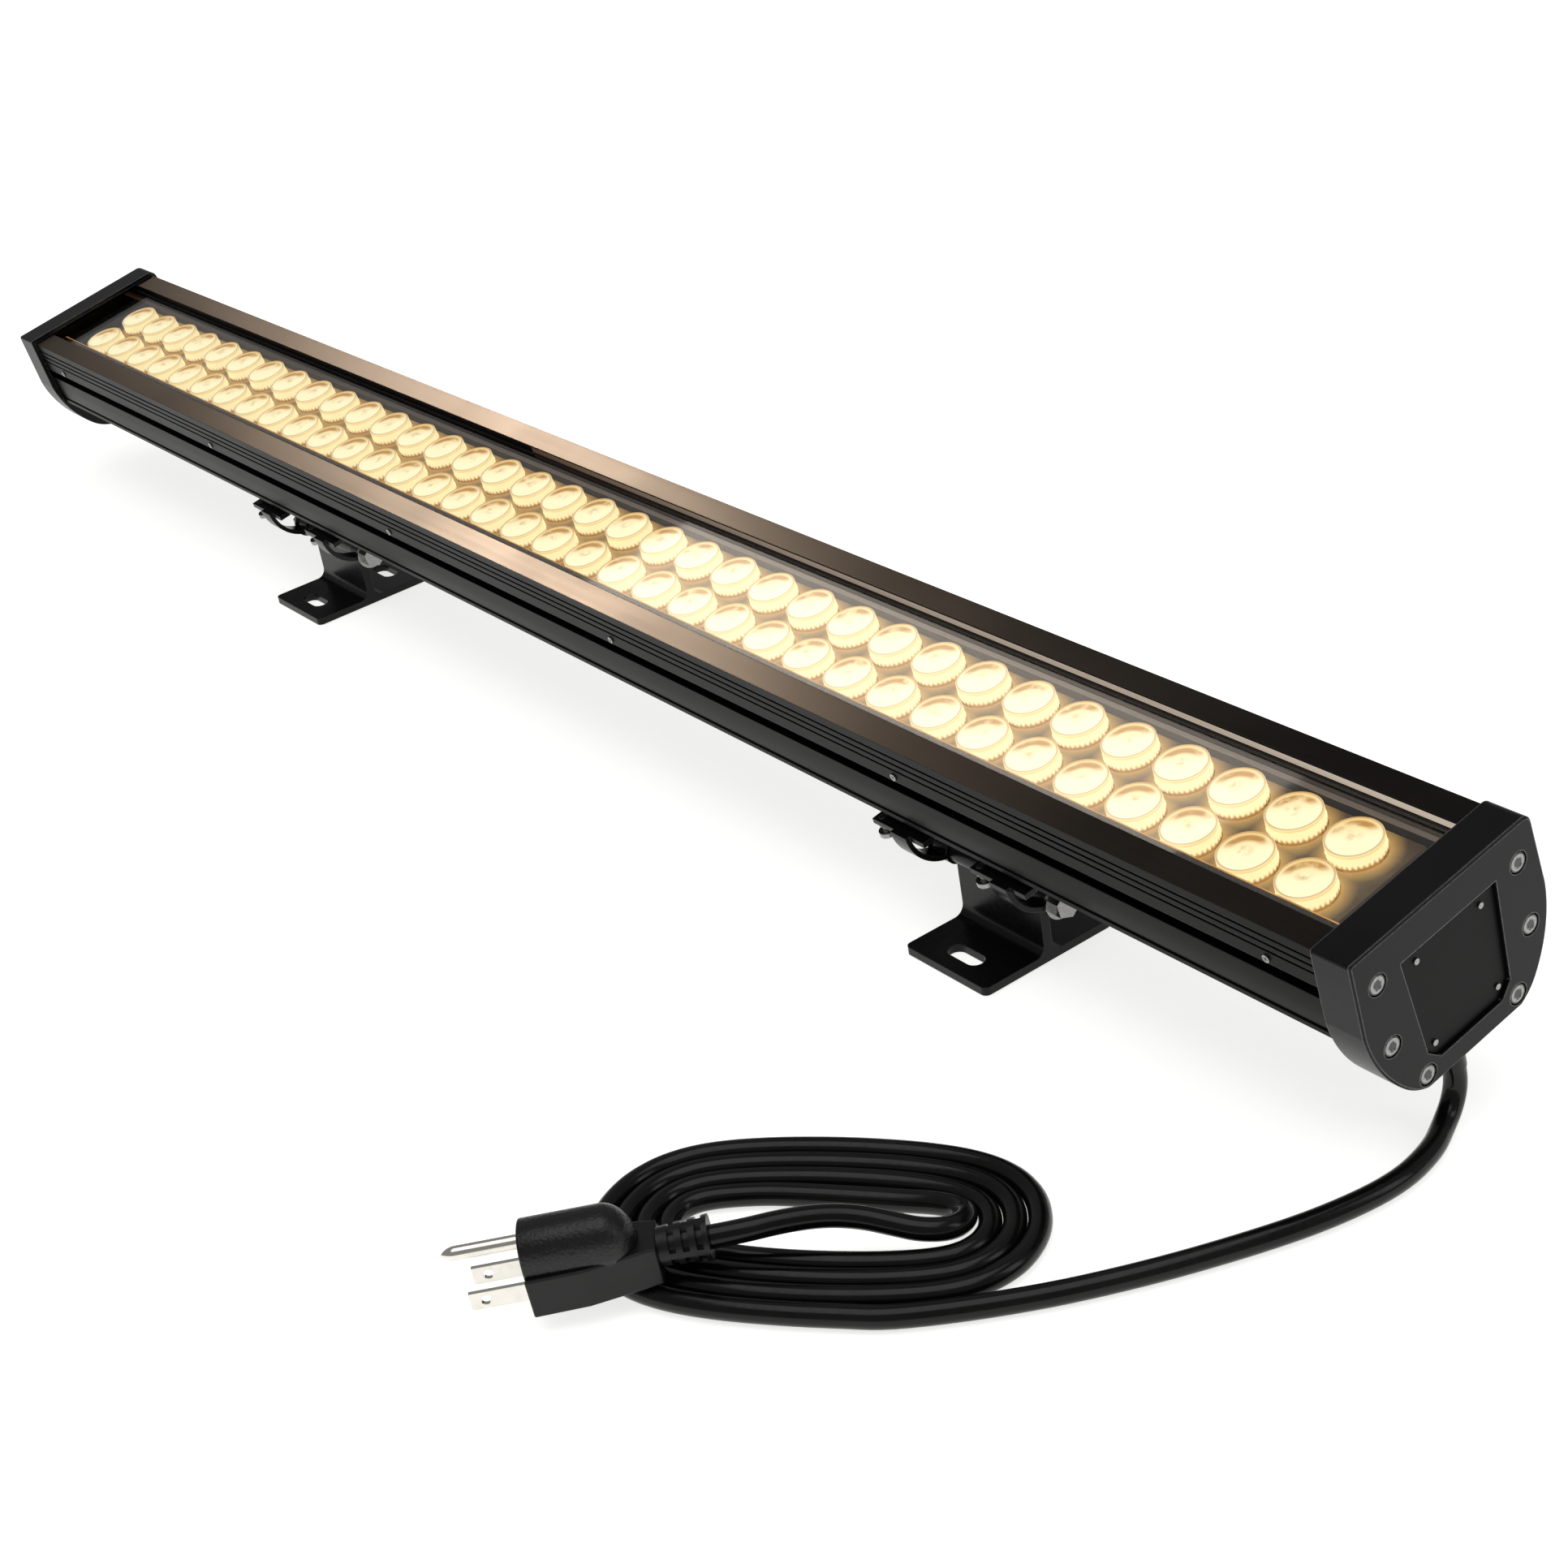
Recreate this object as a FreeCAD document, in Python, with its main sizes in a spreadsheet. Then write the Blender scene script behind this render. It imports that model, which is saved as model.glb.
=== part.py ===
import FreeCAD, Part
import math
import os
import Sketcher
from FreeCAD import Placement, Rotation, Vector

# Outdoor wall washer light: a one metre bar lamp with two rows of lenses, carried by two
# hinged feet that slide along its underside, with its mains lead coiled on the floor.
# Millimetres. X runs along the bar, Y to the back, Z up from the floor the feet stand on.
#
# The lamp is drawn level in its own frame: x along the bar from its middle, y to the back,
# z up from the top of the end caps. LAMP turns that frame about the hinge axis.

SIZES = {
    "Overcut": 1.0,
    # the bar
    "LampLength": 1000.0,
    "BarHalfWidth": 39.2,
    "BarTop": 2.5,
    "BarBottom": 43.5,
    "FlangeInner": 28.2,
    "GlassTop": 6.0,
    "GlassThick": 3.0,
    "GlassSealWidth": 1.2,
    "GlassEndGap": 1.2,
    "ChamberHalfWidth": 24.5,
    "ChamberFloor": 23.0,
    "FinGrooveDepth": 0.8,
    "FinGrooveHeight": 1.0,
    "FinPitch": 3.1,
    "FirstFinGroove": 6.2,
    "SideSlotTop": 18.7,
    "SideSlotBottom": 23.8,
    "SideSlotDepth": 4.0,
    "SideBulgeRadius": 60.0,
    "LipGrooveTop": 36.8,
    "LipGrooveBottom": 38.0,
    "LipBottom": 40.0,
    "LipInset": 0.2,
    "BulgeInset": 0.3,
    "LipGrooveDepth": 0.8,
    "FootChamfer": 3.0,
    "WireDuctTop": 26.5,
    "WireDuctBottom": 35.5,
    "WireDuctHalfWidth": 33.0,
    "RailCentre": 22.3,
    "RailNeckHalf": 4.2,
    "RailHeadHalf": 7.2,
    "RailLip": 2.0,
    "RailDepth": 5.5,
    # lenses, board and chips
    "LensPitch": 25.87,
    "LensEndMargin": 15.0,
    "RowOffset": 11.47,
    "LensRadius": 9.9,
    "LensRimHeight": 5.4,
    "LensFootRadius": 5.4,
    "LensTopGap": 0.3,
    "LensBoardGap": 0.3,
    "ChipCavityRadius": 2.9,
    "ChipCavityHeight": 2.0,
    "ChipSide": 3.5,
    "ChipHeight": 1.2,
    "BoardThick": 1.6,
    "BoardEndGap": 24.5,
    "BoardHalfWidth": 23.0,
    "LensPlateThick": 1.2,
    "LensPlateDrop": 6.2,
    "LensHoleGap": 0.25,
    "LensPlateEdgeGap": 0.3,
    # end caps
    "CapLength": 16.0,
    "CapEndWall": 4.0,
    "GasketThick": 1.5,
    "CapFit": 0.2,
    "CapSideWall": 1.9,
    "CapWaistFlare": 1.0,
    "CapWaistRise": 36.5,
    "CapHipTuck": 11.5,
    "CapHipRise": 6.5,
    "CapHipRadius": 52.0,
    "CapBaseTuck": 8.8,
    "CapDepth": 65.5,
    "CapHeelRadius": 22.0,
    "CapFrontRound": 1.2,
    "CapBackRound": 4.0,
    "CapBevel": 0.8,
    "PanelTopHalf": 22.0,
    "PanelTopDrop": 13.3,
    "PanelBaseHalf": 19.5,
    "PanelBaseRise": 8.0,
    "PanelCorner": 5.0,
    "PanelRecess": 1.5,
    "PanelPlateThick": 0.9,
    "PanelPlateGap": 0.2,
    "RivetRadius": 1.1,
    "RivetHeight": 0.6,
    "RivetHalf": 14.8,
    "RivetTopDrop": 18.4,
    "RivetBaseRise": 13.3,
    "CapScrewHalf": 32.3,
    "CapScrewTopDrop": 13.8,
    "CapScrewMidDrop": 39.2,
    "CapScrewLowHalf": 21.4,
    "CapScrewLowRise": 5.4,
    "CapScrewSinkRadius": 3.9,
    "CapScrewSinkDepth": 1.9,
    "CapScrewHeadRadius": 3.3,
    "CapScrewHeadHeight": 1.6,
    "CapScrewRadius": 1.5,
    "CapScrewLength": 12.0,
    "CapScrewTipGap": 1.0,
    "ScrewClearance": 0.1,
    "SideScrewEndGap": 34.5,
    "SideScrewCount": 6.0,
    "SideScrewDrop": 16.4,
    "SideScrewRadius": 1.5,
    "SideScrewHeight": 0.6,
    # inside the wire duct
    "DriverFromExit": 51.0,
    "DriverLength": 200.0,
    "DriverHalfWidth": 24.0,
    "InputFrom": 20.0,
    "InputLength": 24.0,
    "InputFront": 18.0,
    "InputBack": -8.0,
    "InputHeight": 3.0,
    "TransformerFrom": 80.0,
    "TransformerLength": 28.0,
    "TransformerFront": 14.0,
    "TransformerBack": 12.0,
    "TransformerHeight": 6.2,
    "RectifierFrom": 122.0,
    "RectifierLength": 24.0,
    "RectifierFront": 12.0,
    "RectifierBack": 12.0,
    "RectifierHeight": 5.0,
    "ConnectorLength": 10.0,
    "ConnectorFront": 11.0,
    "ConnectorBack": 5.0,
    "ConnectorHeight": 6.0,
    "CapacitorFrom": 55.0,
    "CapacitorLength": 16.0,
    "CapacitorRadius": 3.1,
    "CapacitorFirst": 4.0,
    "CapacitorSpacing": 9.0,
    "TerminalLength": 13.0,
    "TerminalBehindExit": 4.0,
    "TerminalHalfWidth": 9.0,
    "TerminalHeight": 4.0,
    "WireRadius": 0.9,
    "WireSpacing": 4.5,
    "WireDrop": 29.3,
    # hinge and feet
    "HingeY": -13.67,
    "HingeZ": 30.0,
    "HingeLampY": -23.0,
    "HingeLampDrop": 62.7,
    "LampTilt": 11.08,
    "FootRightX": 275.2,
    "FootLeftX": -228.8,
    "FootWidth": 45.6,
    "FootHalfDepth": 30.8,
    "FootThick": 3.3,
    "FootCorner": 2.5,
    "UprightThick": 4.0,
    "UprightFillet": 4.5,
    "BarrelRadius": 5.0,
    "SlotLength": 17.6,
    "SlotWidth": 7.5,
    "SlotOffset": 20.3,
    "BoltRadius": 3.0,
    "BoltRunGap": 0.08,
    "BoltFit": 0.05,
    "WasherFit": 0.1,
    "ClipWidth": 9.0,
    "ClipSideGap": 0.5,
    "ClipRingRadius": 20.4,
    "ClipBand": 2.0,
    "ClipRingDrop": 44.0,
    "ClipBossRadius": 6.0,
    "ClipPlateThick": 2.2,
    "RailClearance": 0.2,
    "TabFront": 41.0,
    "TabBack": 35.4,
    "TabLeft": 12.5,
    "TabRight": 8.0,
    "ThumbFromClip": 9.7,
    "ThumbLine": 38.2,
    "ThumbRadius": 1.5,
    "ThumbLength": 8.0,
    "ThumbCollarRadius": 2.3,
    "ThumbCollarHeight": 1.2,
    "ThumbFit": 0.1,
    "ThumbHeadRadius": 3.3,
    "ThumbHeadHeight": 1.9,
    "WasherRadius": 7.2,
    "WasherThick": 1.2,
    "BoltHeadFlats": 10.0,
    "BoltHeadHeight": 4.0,
    "NutHeight": 4.0,
    "BoltEnd": 1.5,
    # mains lead
    "CordRadius": 3.9,
    "CordExitInset": 9.0,
    "CordExitY": -3.0,
    "GlandRadius": 5.0,
    "GlandBoreGap": 0.2,
    "GlandTopGap": 1.0,
    "CoreRadius": 3.4,
    "CoreGap": 0.3,
    "CoreFit": 0.1,
    "ReliefInside": 10.0,
    "ReliefOutside": 10.0,
    "ReliefTipRadius": 4.3,
    "LeadStraight": 5.5,
    "LeadJoins": 25.0,
    "TailStraight": 9.5,
    # coil: an oval flat spiral on the floor
    "CoilX": 383.2,
    "CoilY": -166.7,
    "CoilHeading": 39.2,
    "CoilHalfLength": 77.0,
    "CoilHalfWidth": 43.6,
    "CoilPitch": 8.5,
    "CoilLoops": 3.5,
    "CoilFlatness": 2.5,
    "CoilReturnRadius": 9.4,
    "CoilReturnAlong": 43.0,
    "CoilReturnClimb": 7.2,
    "CoilReturnLean": 3.1,
    "CoilReturnBendShare": 0.45,
    "CoilBendSlope": 13.0,
    "CoilLeaveSlope": 11.0,
    # plug
    "PlugEndX": 378.5,
    "PlugEndY": -204.7,
    "PlugEndZ": 18.9,
    "PlugHeading": -125.0,
    "PlugPitch": 3.0,
    "PlugReliefLength": 16.4,
    "PlugReliefTip": 7.4,
    "PlugReliefRoot": 6.2,
    "PlugReliefCore": 4.8,
    "PlugReliefRib": 2.2,
    "PlugReliefLead": 0.4,
    "PlugBodyLength": 41.5,
    "PlugBelow": 9.0,
    "PlugShelf": 5.0,
    "PlugFaceHalf": 12.5,
    "PlugBreakHalf": 12.0,
    "PlugBreakLength": 18.0,
    "PlugTailHalf": 7.5,
    "GripHalf": 10.5,
    "GripTop": 18.0,
    "GripRound": 7.5,
    "GripFlat": 4.0,
    "GripLength": 36.0,
    "GripFlute": 1.5,
    "GripFluteStart": 0.8,
    "GripFluteHeight": 2.4,
    "GripFlutePitch": 3.4,
    "GripSink": 1.0,
    "GripEndRound": 9.0,
    "BladeLength": 19.2,
    "BladeHeight": 6.3,
    "BladeThick": 1.5,
    "BladeSpacing": 12.7,
    "BladeDrop": 2.6,
    "BladeHoleRadius": 1.7,
    "BladeHoleFromTip": 5.0,
    "GroundRadius": 2.4,
    "GroundLength": 25.7,
    "GroundDomeLength": 4.8,
    "GroundDomeRadius": 6.24,
    "GroundRise": 12.0,
}

doc = FreeCAD.newDocument("WallWasher")
sheet = doc.addObject("Spreadsheet::Sheet", "Sizes")


class Size:
    """A number and the sheet expression that gives it, so that a sum can be bound to a property."""

    def __init__(self, number, text):
        self.number = number
        self.text = text

    def __add__(self, other):
        other = as_size(other)
        return Size(self.number + other.number, f"({self.text} + {other.text})")

    def __radd__(self, other):
        return as_size(other) + self

    def __sub__(self, other):
        other = as_size(other)
        return Size(self.number - other.number, f"({self.text} - {other.text})")

    def __rsub__(self, other):
        return as_size(other) - self

    def __mul__(self, other):
        other = as_size(other)
        return Size(self.number * other.number, f"({self.text} * {other.text})")

    def __rmul__(self, other):
        return self * other

    def __truediv__(self, other):
        other = as_size(other)
        return Size(self.number / other.number, f"({self.text} / {other.text})")

    def __neg__(self):
        return Size(-self.number, f"(0 - {self.text})")

    def root(self):
        return Size(math.sqrt(self.number), f"sqrt({self.text})")

    def whole(self):
        return Size(math.floor(self.number), f"floor({self.text})")


def as_size(value):
    if isinstance(value, Size):
        return value
    return Size(float(value), f"({float(value)!r})" if value < 0 else f"{float(value)!r}")


def fill_sheet():
    for row, (name, value) in enumerate(SIZES.items(), start=1):
        sheet.set(f"A{row}", name)
        sheet.set(f"B{row}", str(value))
        sheet.setAlias(f"B{row}", name)
    doc.recompute()


fill_sheet()


def size(name):
    return Size(float(sheet.get(name)), f"Sizes.{name}")


def bind(obj, name, value):
    """Set a length property and bind it to the sheet."""
    value = as_size(value)
    setattr(obj, name, value.number)
    obj.setExpression(name, value.text)


def bind_base(obj, x, y, z):
    values = [as_size(v) for v in (x, y, z)]
    place = obj.Placement
    place.Base = Vector(*[v.number for v in values])
    obj.Placement = place
    for axis, value in zip("xyz", values):
        obj.setExpression(f"Placement.Base.{axis}", value.text)


# Lines of the lamp frame that several pieces share.
cap_face = size("LampLength") / 2
cap_inner = cap_face - size("CapLength")
socket_floor = cap_face - size("CapEndWall")
bar_half = socket_floor - size("GasketThick")
exit_x = cap_face - size("CordExitInset")
driver_end = exit_x - size("DriverFromExit")
driver_start = driver_end - size("DriverLength")
cap_base = -size("CapDepth")
cap_top_half = size("BarHalfWidth") + size("CapFit") + size("CapSideWall")
bar_base = -size("BarBottom")
glass_bottom = size("GlassTop") + size("GlassThick")
board_top = size("ChamberFloor") - size("BoardThick")
board_end = bar_half - size("BoardEndGap")
lenses_in_row = ((board_end - size("LensEndMargin")) * 2 / size("LensPitch")).whole() + 1
first_lens = -(size("LensPitch") * (lenses_in_row - 1) / 2)
lens_top = glass_bottom + size("LensTopGap")
plate_top = lens_top + size("LensPlateDrop")
pivot_y = size("HingeLampY")
pivot_z = -size("HingeLampDrop")


def lamp_placement():
    """The lamp frame, tilted about X with its hinge point on the hinge axis."""
    turn = Rotation(Vector(1, 0, 0), size("LampTilt").number)
    hinge = Vector(0, size("HingeY").number, size("HingeZ").number)
    return Placement(hinge - turn.multVec(Vector(0, pivot_y.number, pivot_z.number)), turn)


LAMP = lamp_placement()
parts = []


def keep(obj, label, place=None):
    """Name a finished sub-part, put it in its place and list it for export."""
    obj.Label = label
    if place is not None:
        obj.Placement = place
    parts.append(obj)
    return obj


# ---------------------------------------------------------------- sketch and feature helpers


def new_body(name):
    body = doc.addObject("PartDesign::Body", name)
    body.AllowCompound = True
    return body


def origin_feature(body, role):
    return next(f for f in body.Origin.OriginFeatures if f.Role == role)


def new_sketch(body, plane, along=0.0, shift_x=0.0):
    """A sketch on an origin plane, moved along its normal and its own x."""
    sketch = body.newObject("Sketcher::SketchObject", body.Name + "Sketch")
    sketch.AttachmentSupport = [(origin_feature(body, plane), "")]
    sketch.MapMode = "FlatFace"
    along = as_size(along)
    shift_x = as_size(shift_x)
    sketch.AttachmentOffset = Placement(Vector(shift_x.number, 0, along.number), Rotation())
    sketch.setExpression("AttachmentOffset.Base.z", along.text)
    sketch.setExpression("AttachmentOffset.Base.x", shift_x.text)
    return sketch


def hold(sketch, kind, index, position, value):
    """Constrain one coordinate or radius and bind it to the sheet."""
    value = as_size(value)
    if kind == "Radius":
        constraint = Sketcher.Constraint(kind, index, value.number)
    else:
        constraint = Sketcher.Constraint(kind, index, position, value.number)
    number = sketch.addConstraint(constraint)
    sketch.setExpression(f"Constraints[{number}]", value.text)


def arc_between(start, end, radius):
    """The short arc from start to end; it bulges to the right of its travel where radius > 0."""
    half = (end - start) / 2
    reach = math.sqrt(max(radius * radius - half.Length ** 2, 0.0))
    left = Vector(-half.y, half.x, 0).normalize()
    centre = start + half + left * (reach if radius > 0 else -reach)
    circle = Part.Circle(centre, Vector(0, 0, 1), abs(radius))
    first, last = (start, end) if radius > 0 else (end, start)
    angles = [math.atan2(p.y - centre.y, p.x - centre.x) for p in (first, last)]
    return Part.ArcOfCircle(circle, angles[0], angles[1])


def draw_outline(sketch, corners):
    """A closed outline. A corner's third value is the radius of the arc that arrives there."""
    corners = [[as_size(value) for value in corner] for corner in corners]
    points = [Vector(c[0].number, c[1].number, 0) for c in corners]
    sides = []
    for number, corner in enumerate(corners):
        start, end = points[number - 1], points[number]
        if len(corner) == 3:
            index = sketch.addGeometry(arc_between(start, end, corner[2].number), False)
            forward = corner[2].number > 0
            hold(sketch, "Radius", index, 0, corner[2] if forward else -corner[2])
            sides.append((index, 1, 2) if forward else (index, 2, 1))
        else:
            index = sketch.addGeometry(Part.LineSegment(start, end), False)
            sides.append((index, 1, 2))
    for number, corner in enumerate(corners):
        index, _, end = sides[number]
        following, start, _ = sides[(number + 1) % len(sides)]
        sketch.addConstraint(Sketcher.Constraint("Coincident", index, end, following, start))
        hold(sketch, "DistanceX", index, end, corner[0])
        hold(sketch, "DistanceY", index, end, corner[1])


def draw_circle(sketch, x, y, radius):
    x, y, radius = (as_size(value) for value in (x, y, radius))
    circle = Part.Circle(Vector(x.number, y.number, 0), Vector(0, 0, 1), radius.number)
    index = sketch.addGeometry(circle, False)
    hold(sketch, "DistanceX", index, 3, x)
    hold(sketch, "DistanceY", index, 3, y)
    hold(sketch, "Radius", index, 0, radius)


def draw_slot(sketch, x, y, length, width):
    """A slot along the sketch's x, with half-round ends."""
    x, y, length, width = (as_size(value) for value in (x, y, length, width))
    radius = width / 2
    ends = []
    for side, first in ((1, -math.pi / 2), (-1, math.pi / 2)):
        centre = x + (length / 2 - radius) * side
        circle = Part.Circle(Vector(centre.number, y.number, 0), Vector(0, 0, 1), radius.number)
        index = sketch.addGeometry(Part.ArcOfCircle(circle, first, first + math.pi), False)
        hold(sketch, "DistanceX", index, 3, centre)
        hold(sketch, "DistanceY", index, 3, y)
        hold(sketch, "Radius", index, 0, radius)
        hold(sketch, "DistanceX", index, 1, centre)
        hold(sketch, "DistanceX", index, 2, centre)
        ends.append(index)
    for start, end in (ends, ends[::-1]):
        line = Part.LineSegment(sketch.getPoint(start, 2), sketch.getPoint(end, 1))
        index = sketch.addGeometry(line, False)
        sketch.addConstraint(Sketcher.Constraint("Coincident", index, 1, start, 2))
        sketch.addConstraint(Sketcher.Constraint("Coincident", index, 2, end, 1))


def box_corners(x0, x1, y0, y1):
    return [(x0, y0), (x1, y0), (x1, y1), (x0, y1)]


def pad(body, sketch, length):
    feature = body.newObject("PartDesign::Pad", body.Name + "Pad")
    feature.Profile = sketch
    bind(feature, "Length", length)
    body.Tip = feature
    doc.recompute()
    return feature


def pocket(body, sketch, depth, forward=True):
    """Cut along the sketch's normal, or against it, and prove that material went."""
    before = body.Shape.Volume
    feature = body.newObject("PartDesign::Pocket", body.Name + "Pocket")
    feature.Profile = sketch
    feature.Reversed = forward
    bind(feature, "Length", depth)
    body.Tip = feature
    doc.recompute()
    if not body.Shape.Volume < before - 1e-3:
        raise RuntimeError(f"{feature.Name} cuts nothing")
    return feature


def repeat_along_x(body, feature, pitch, count):
    pattern = body.newObject("PartDesign::LinearPattern", body.Name + "Row")
    pattern.Originals = [feature]
    pattern.Direction = (origin_feature(body, "X_Axis"), [""])
    bind(pattern, "Length", pitch * (count - 1))
    pattern.Occurrences = int(count.number)
    pattern.setExpression("Occurrences", count.text)
    body.Tip = pattern
    doc.recompute()
    return pattern


def edges_of(feature, test):
    return [f"Edge{n}" for n, edge in enumerate(feature.Shape.Edges, start=1) if test(edge)]


def dress(body, kind, feature, edges, name, amount):
    """Fillet or chamfer the given edges of the last feature."""
    dressed = body.newObject(f"PartDesign::{kind}", body.Name + kind)
    dressed.Base = (feature, edges)
    bind(dressed, name, amount)
    body.Tip = dressed
    doc.recompute()
    return dressed


# ---------------------------------------------------------------- primitive helpers

ALONG_X = Rotation(Vector(0, 1, 0), 90)
ALONG_Y = Rotation(Vector(1, 0, 0), -90)
ALONG_Z = Rotation()


def block(x0, x1, y0, y1, z0, z1):
    """A box between two x, two y and two z."""
    x0, x1, y0, y1, z0, z1 = (as_size(value) for value in (x0, x1, y0, y1, z0, z1))
    obj = doc.addObject("Part::Box", "Block")
    bind(obj, "Length", x1 - x0)
    bind(obj, "Width", y1 - y0)
    bind(obj, "Height", z1 - z0)
    bind_base(obj, x0, y0, z0)
    return obj


def rod(x, y, z, turn, radius, length):
    """A cylinder from a point, along the axis that turn gives."""
    obj = doc.addObject("Part::Cylinder", "Rod")
    bind(obj, "Radius", radius)
    bind(obj, "Height", length)
    obj.Placement = Placement(Vector(), turn)
    bind_base(obj, x, y, z)
    return obj


def cone(x, y, z, turn, first, last, length):
    obj = doc.addObject("Part::Cone", "Cone")
    bind(obj, "Radius1", first)
    bind(obj, "Radius2", last)
    bind(obj, "Height", length)
    obj.Placement = Placement(Vector(), turn)
    bind_base(obj, x, y, z)
    return obj


def hexagon(x, y, z, turn, flats, height):
    obj = doc.addObject("Part::Prism", "Hexagon")
    obj.Polygon = 6
    bind(obj, "Circumradius", flats / as_size(3).root())
    bind(obj, "Height", height)
    obj.Placement = Placement(Vector(), turn)
    bind_base(obj, x, y, z)
    return obj


def fuse(*shapes):
    obj = doc.addObject("Part::MultiFuse", "Fuse")
    obj.Shapes = list(shapes)
    return obj


def cut(base, tool):
    obj = doc.addObject("Part::Cut", "Cut")
    obj.Base = base
    obj.Tool = tool
    return obj


def common(*shapes):
    obj = doc.addObject("Part::MultiCommon", "Common")
    obj.Shapes = list(shapes)
    return obj


def group(*shapes):
    obj = doc.addObject("Part::Compound", "Group")
    obj.Links = list(shapes)
    return obj


# ---------------------------------------------------------------- the bar


def fin_grooves(half):
    """Three shallow grooves in the side above the plain band, from the lowest up."""
    corners = []
    for number in (2, 1, 0):
        top = size("FirstFinGroove") + size("FinPitch") * number
        bottom = top + size("FinGrooveHeight")
        corners += [
            (half, -bottom),
            (half - size("FinGrooveDepth"), -bottom),
            (half - size("FinGrooveDepth"), -top),
            (half, -top),
        ]
    return corners


def rail_slot():
    """One T-slot in the underside, drawn towards the outside."""
    centre = size("RailCentre")
    neck, head = size("RailNeckHalf"), size("RailHeadHalf")
    mouth = -size("BarBottom")
    lip = mouth + size("RailLip")
    deep = mouth + size("RailDepth")
    return [
        (centre - neck, mouth),
        (centre - neck, lip),
        (centre - head, lip),
        (centre - head, deep),
        (centre + head, deep),
        (centre + head, lip),
        (centre + neck, lip),
        (centre + neck, mouth),
    ]


def bar_side():
    """The section's right side, from the middle of the underside up to the trough floor."""
    half = size("BarHalfWidth")
    lip_half = half - size("LipInset")
    groove_half = lip_half - size("LipGrooveDepth")
    slot_half = half - size("SideSlotDepth")
    return rail_slot() + [
        (lip_half - size("FootChamfer"), -size("BarBottom")),
        (lip_half, -size("LipBottom")),
        (lip_half, -size("LipGrooveBottom")),
        (groove_half, -size("LipGrooveBottom")),
        (groove_half, -size("LipGrooveTop")),
        (lip_half - size("BulgeInset"), -size("LipGrooveTop")),
        (lip_half, -size("SideSlotBottom"), size("SideBulgeRadius")),
        (slot_half, -size("SideSlotBottom")),
        (slot_half, -size("SideSlotTop")),
        (half, -size("SideSlotTop")),
    ] + fin_grooves(half) + [
        (half, -size("BarTop")),
        (size("FlangeInner"), -size("BarTop")),
        (size("FlangeInner"), -glass_bottom),
        (size("ChamberHalfWidth"), -glass_bottom),
        (size("ChamberHalfWidth"), -size("ChamberFloor")),
    ]


def mirrored(corners):
    """The same corners on the other side, in the order that closes the outline."""
    other = []
    carried = None
    for corner in reversed(corners):
        other.append((-corner[0], corner[1]) if carried is None else (-corner[0], corner[1], carried))
        carried = corner[2] if len(corner) == 3 else None
    return other


def housing_profile():
    body = new_body("HousingProfile")
    section = new_sketch(body, "YZ_Plane", -bar_half)
    side = bar_side()
    draw_outline(section, side + mirrored(side))
    duct = size("WireDuctHalfWidth")
    draw_outline(section, box_corners(-duct, duct, -size("WireDuctBottom"), -size("WireDuctTop")))
    pad(body, section, bar_half * 2)
    way = new_sketch(body, "XY_Plane", -size("BarBottom"))
    draw_circle(way, exit_x, size("CordExitY"), size("CoreRadius") + size("CoreGap"))
    pocket(body, way, size("BarBottom") - size("WireDuctBottom") + size("Overcut"))
    for end, forward in ((-bar_half, True), (bar_half, False)):
        holes = new_sketch(body, "YZ_Plane", end)
        for y, z in cap_screw_points()[:4]:
            draw_circle(holes, y, z, size("CapScrewRadius") + size("ScrewClearance"))
        pocket(body, holes, size("CapScrewLength"), forward)
    keep(body, "housing_profile", LAMP)


def glass_cover():
    half = size("FlangeInner") - size("GlassSealWidth")
    end = bar_half - size("GlassEndGap")
    body = new_body("GlassCover")
    sketch = new_sketch(body, "XY_Plane", -glass_bottom)
    draw_outline(sketch, box_corners(-end, end, -half, half))
    pad(body, sketch, size("GlassThick"))
    keep(body, "glass_cover", LAMP)


def glass_seal():
    half = size("FlangeInner") - size("GlassSealWidth")
    end = bar_half - size("GlassEndGap")
    body = new_body("GlassSeal")
    sketch = new_sketch(body, "XY_Plane", -glass_bottom)
    draw_outline(sketch, box_corners(-bar_half, bar_half, -size("FlangeInner"), size("FlangeInner")))
    draw_outline(sketch, box_corners(-end, end, -half, half))
    pad(body, sketch, size("GlassThick"))
    keep(body, "glass_seal", LAMP)


# ---------------------------------------------------------------- lenses, board and chips


def lens_row(label, row_y):
    """One row of collimator lenses: rim, cone and the cavity over the chip."""
    body = new_body(label.title().replace("_", ""))
    sketch = new_sketch(body, "XZ_Plane", -as_size(row_y), first_lens)
    foot = board_top - size("LensBoardGap")
    rim = lens_top + size("LensRimHeight")
    cavity = foot - size("ChipCavityHeight")
    draw_outline(sketch, [
        (0, -cavity),
        (size("ChipCavityRadius"), -cavity),
        (size("ChipCavityRadius"), -foot),
        (size("LensFootRadius"), -foot),
        (size("LensRadius"), -rim),
        (size("LensRadius"), -lens_top),
        (0, -lens_top),
    ])
    turned = body.newObject("PartDesign::Revolution", body.Name + "Turned")
    turned.Profile = sketch
    turned.ReferenceAxis = (sketch, ["V_Axis"])
    turned.Angle = 360
    body.Tip = turned
    doc.recompute()
    repeat_along_x(body, turned, size("LensPitch"), lenses_in_row)
    keep(body, label, LAMP)


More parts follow.
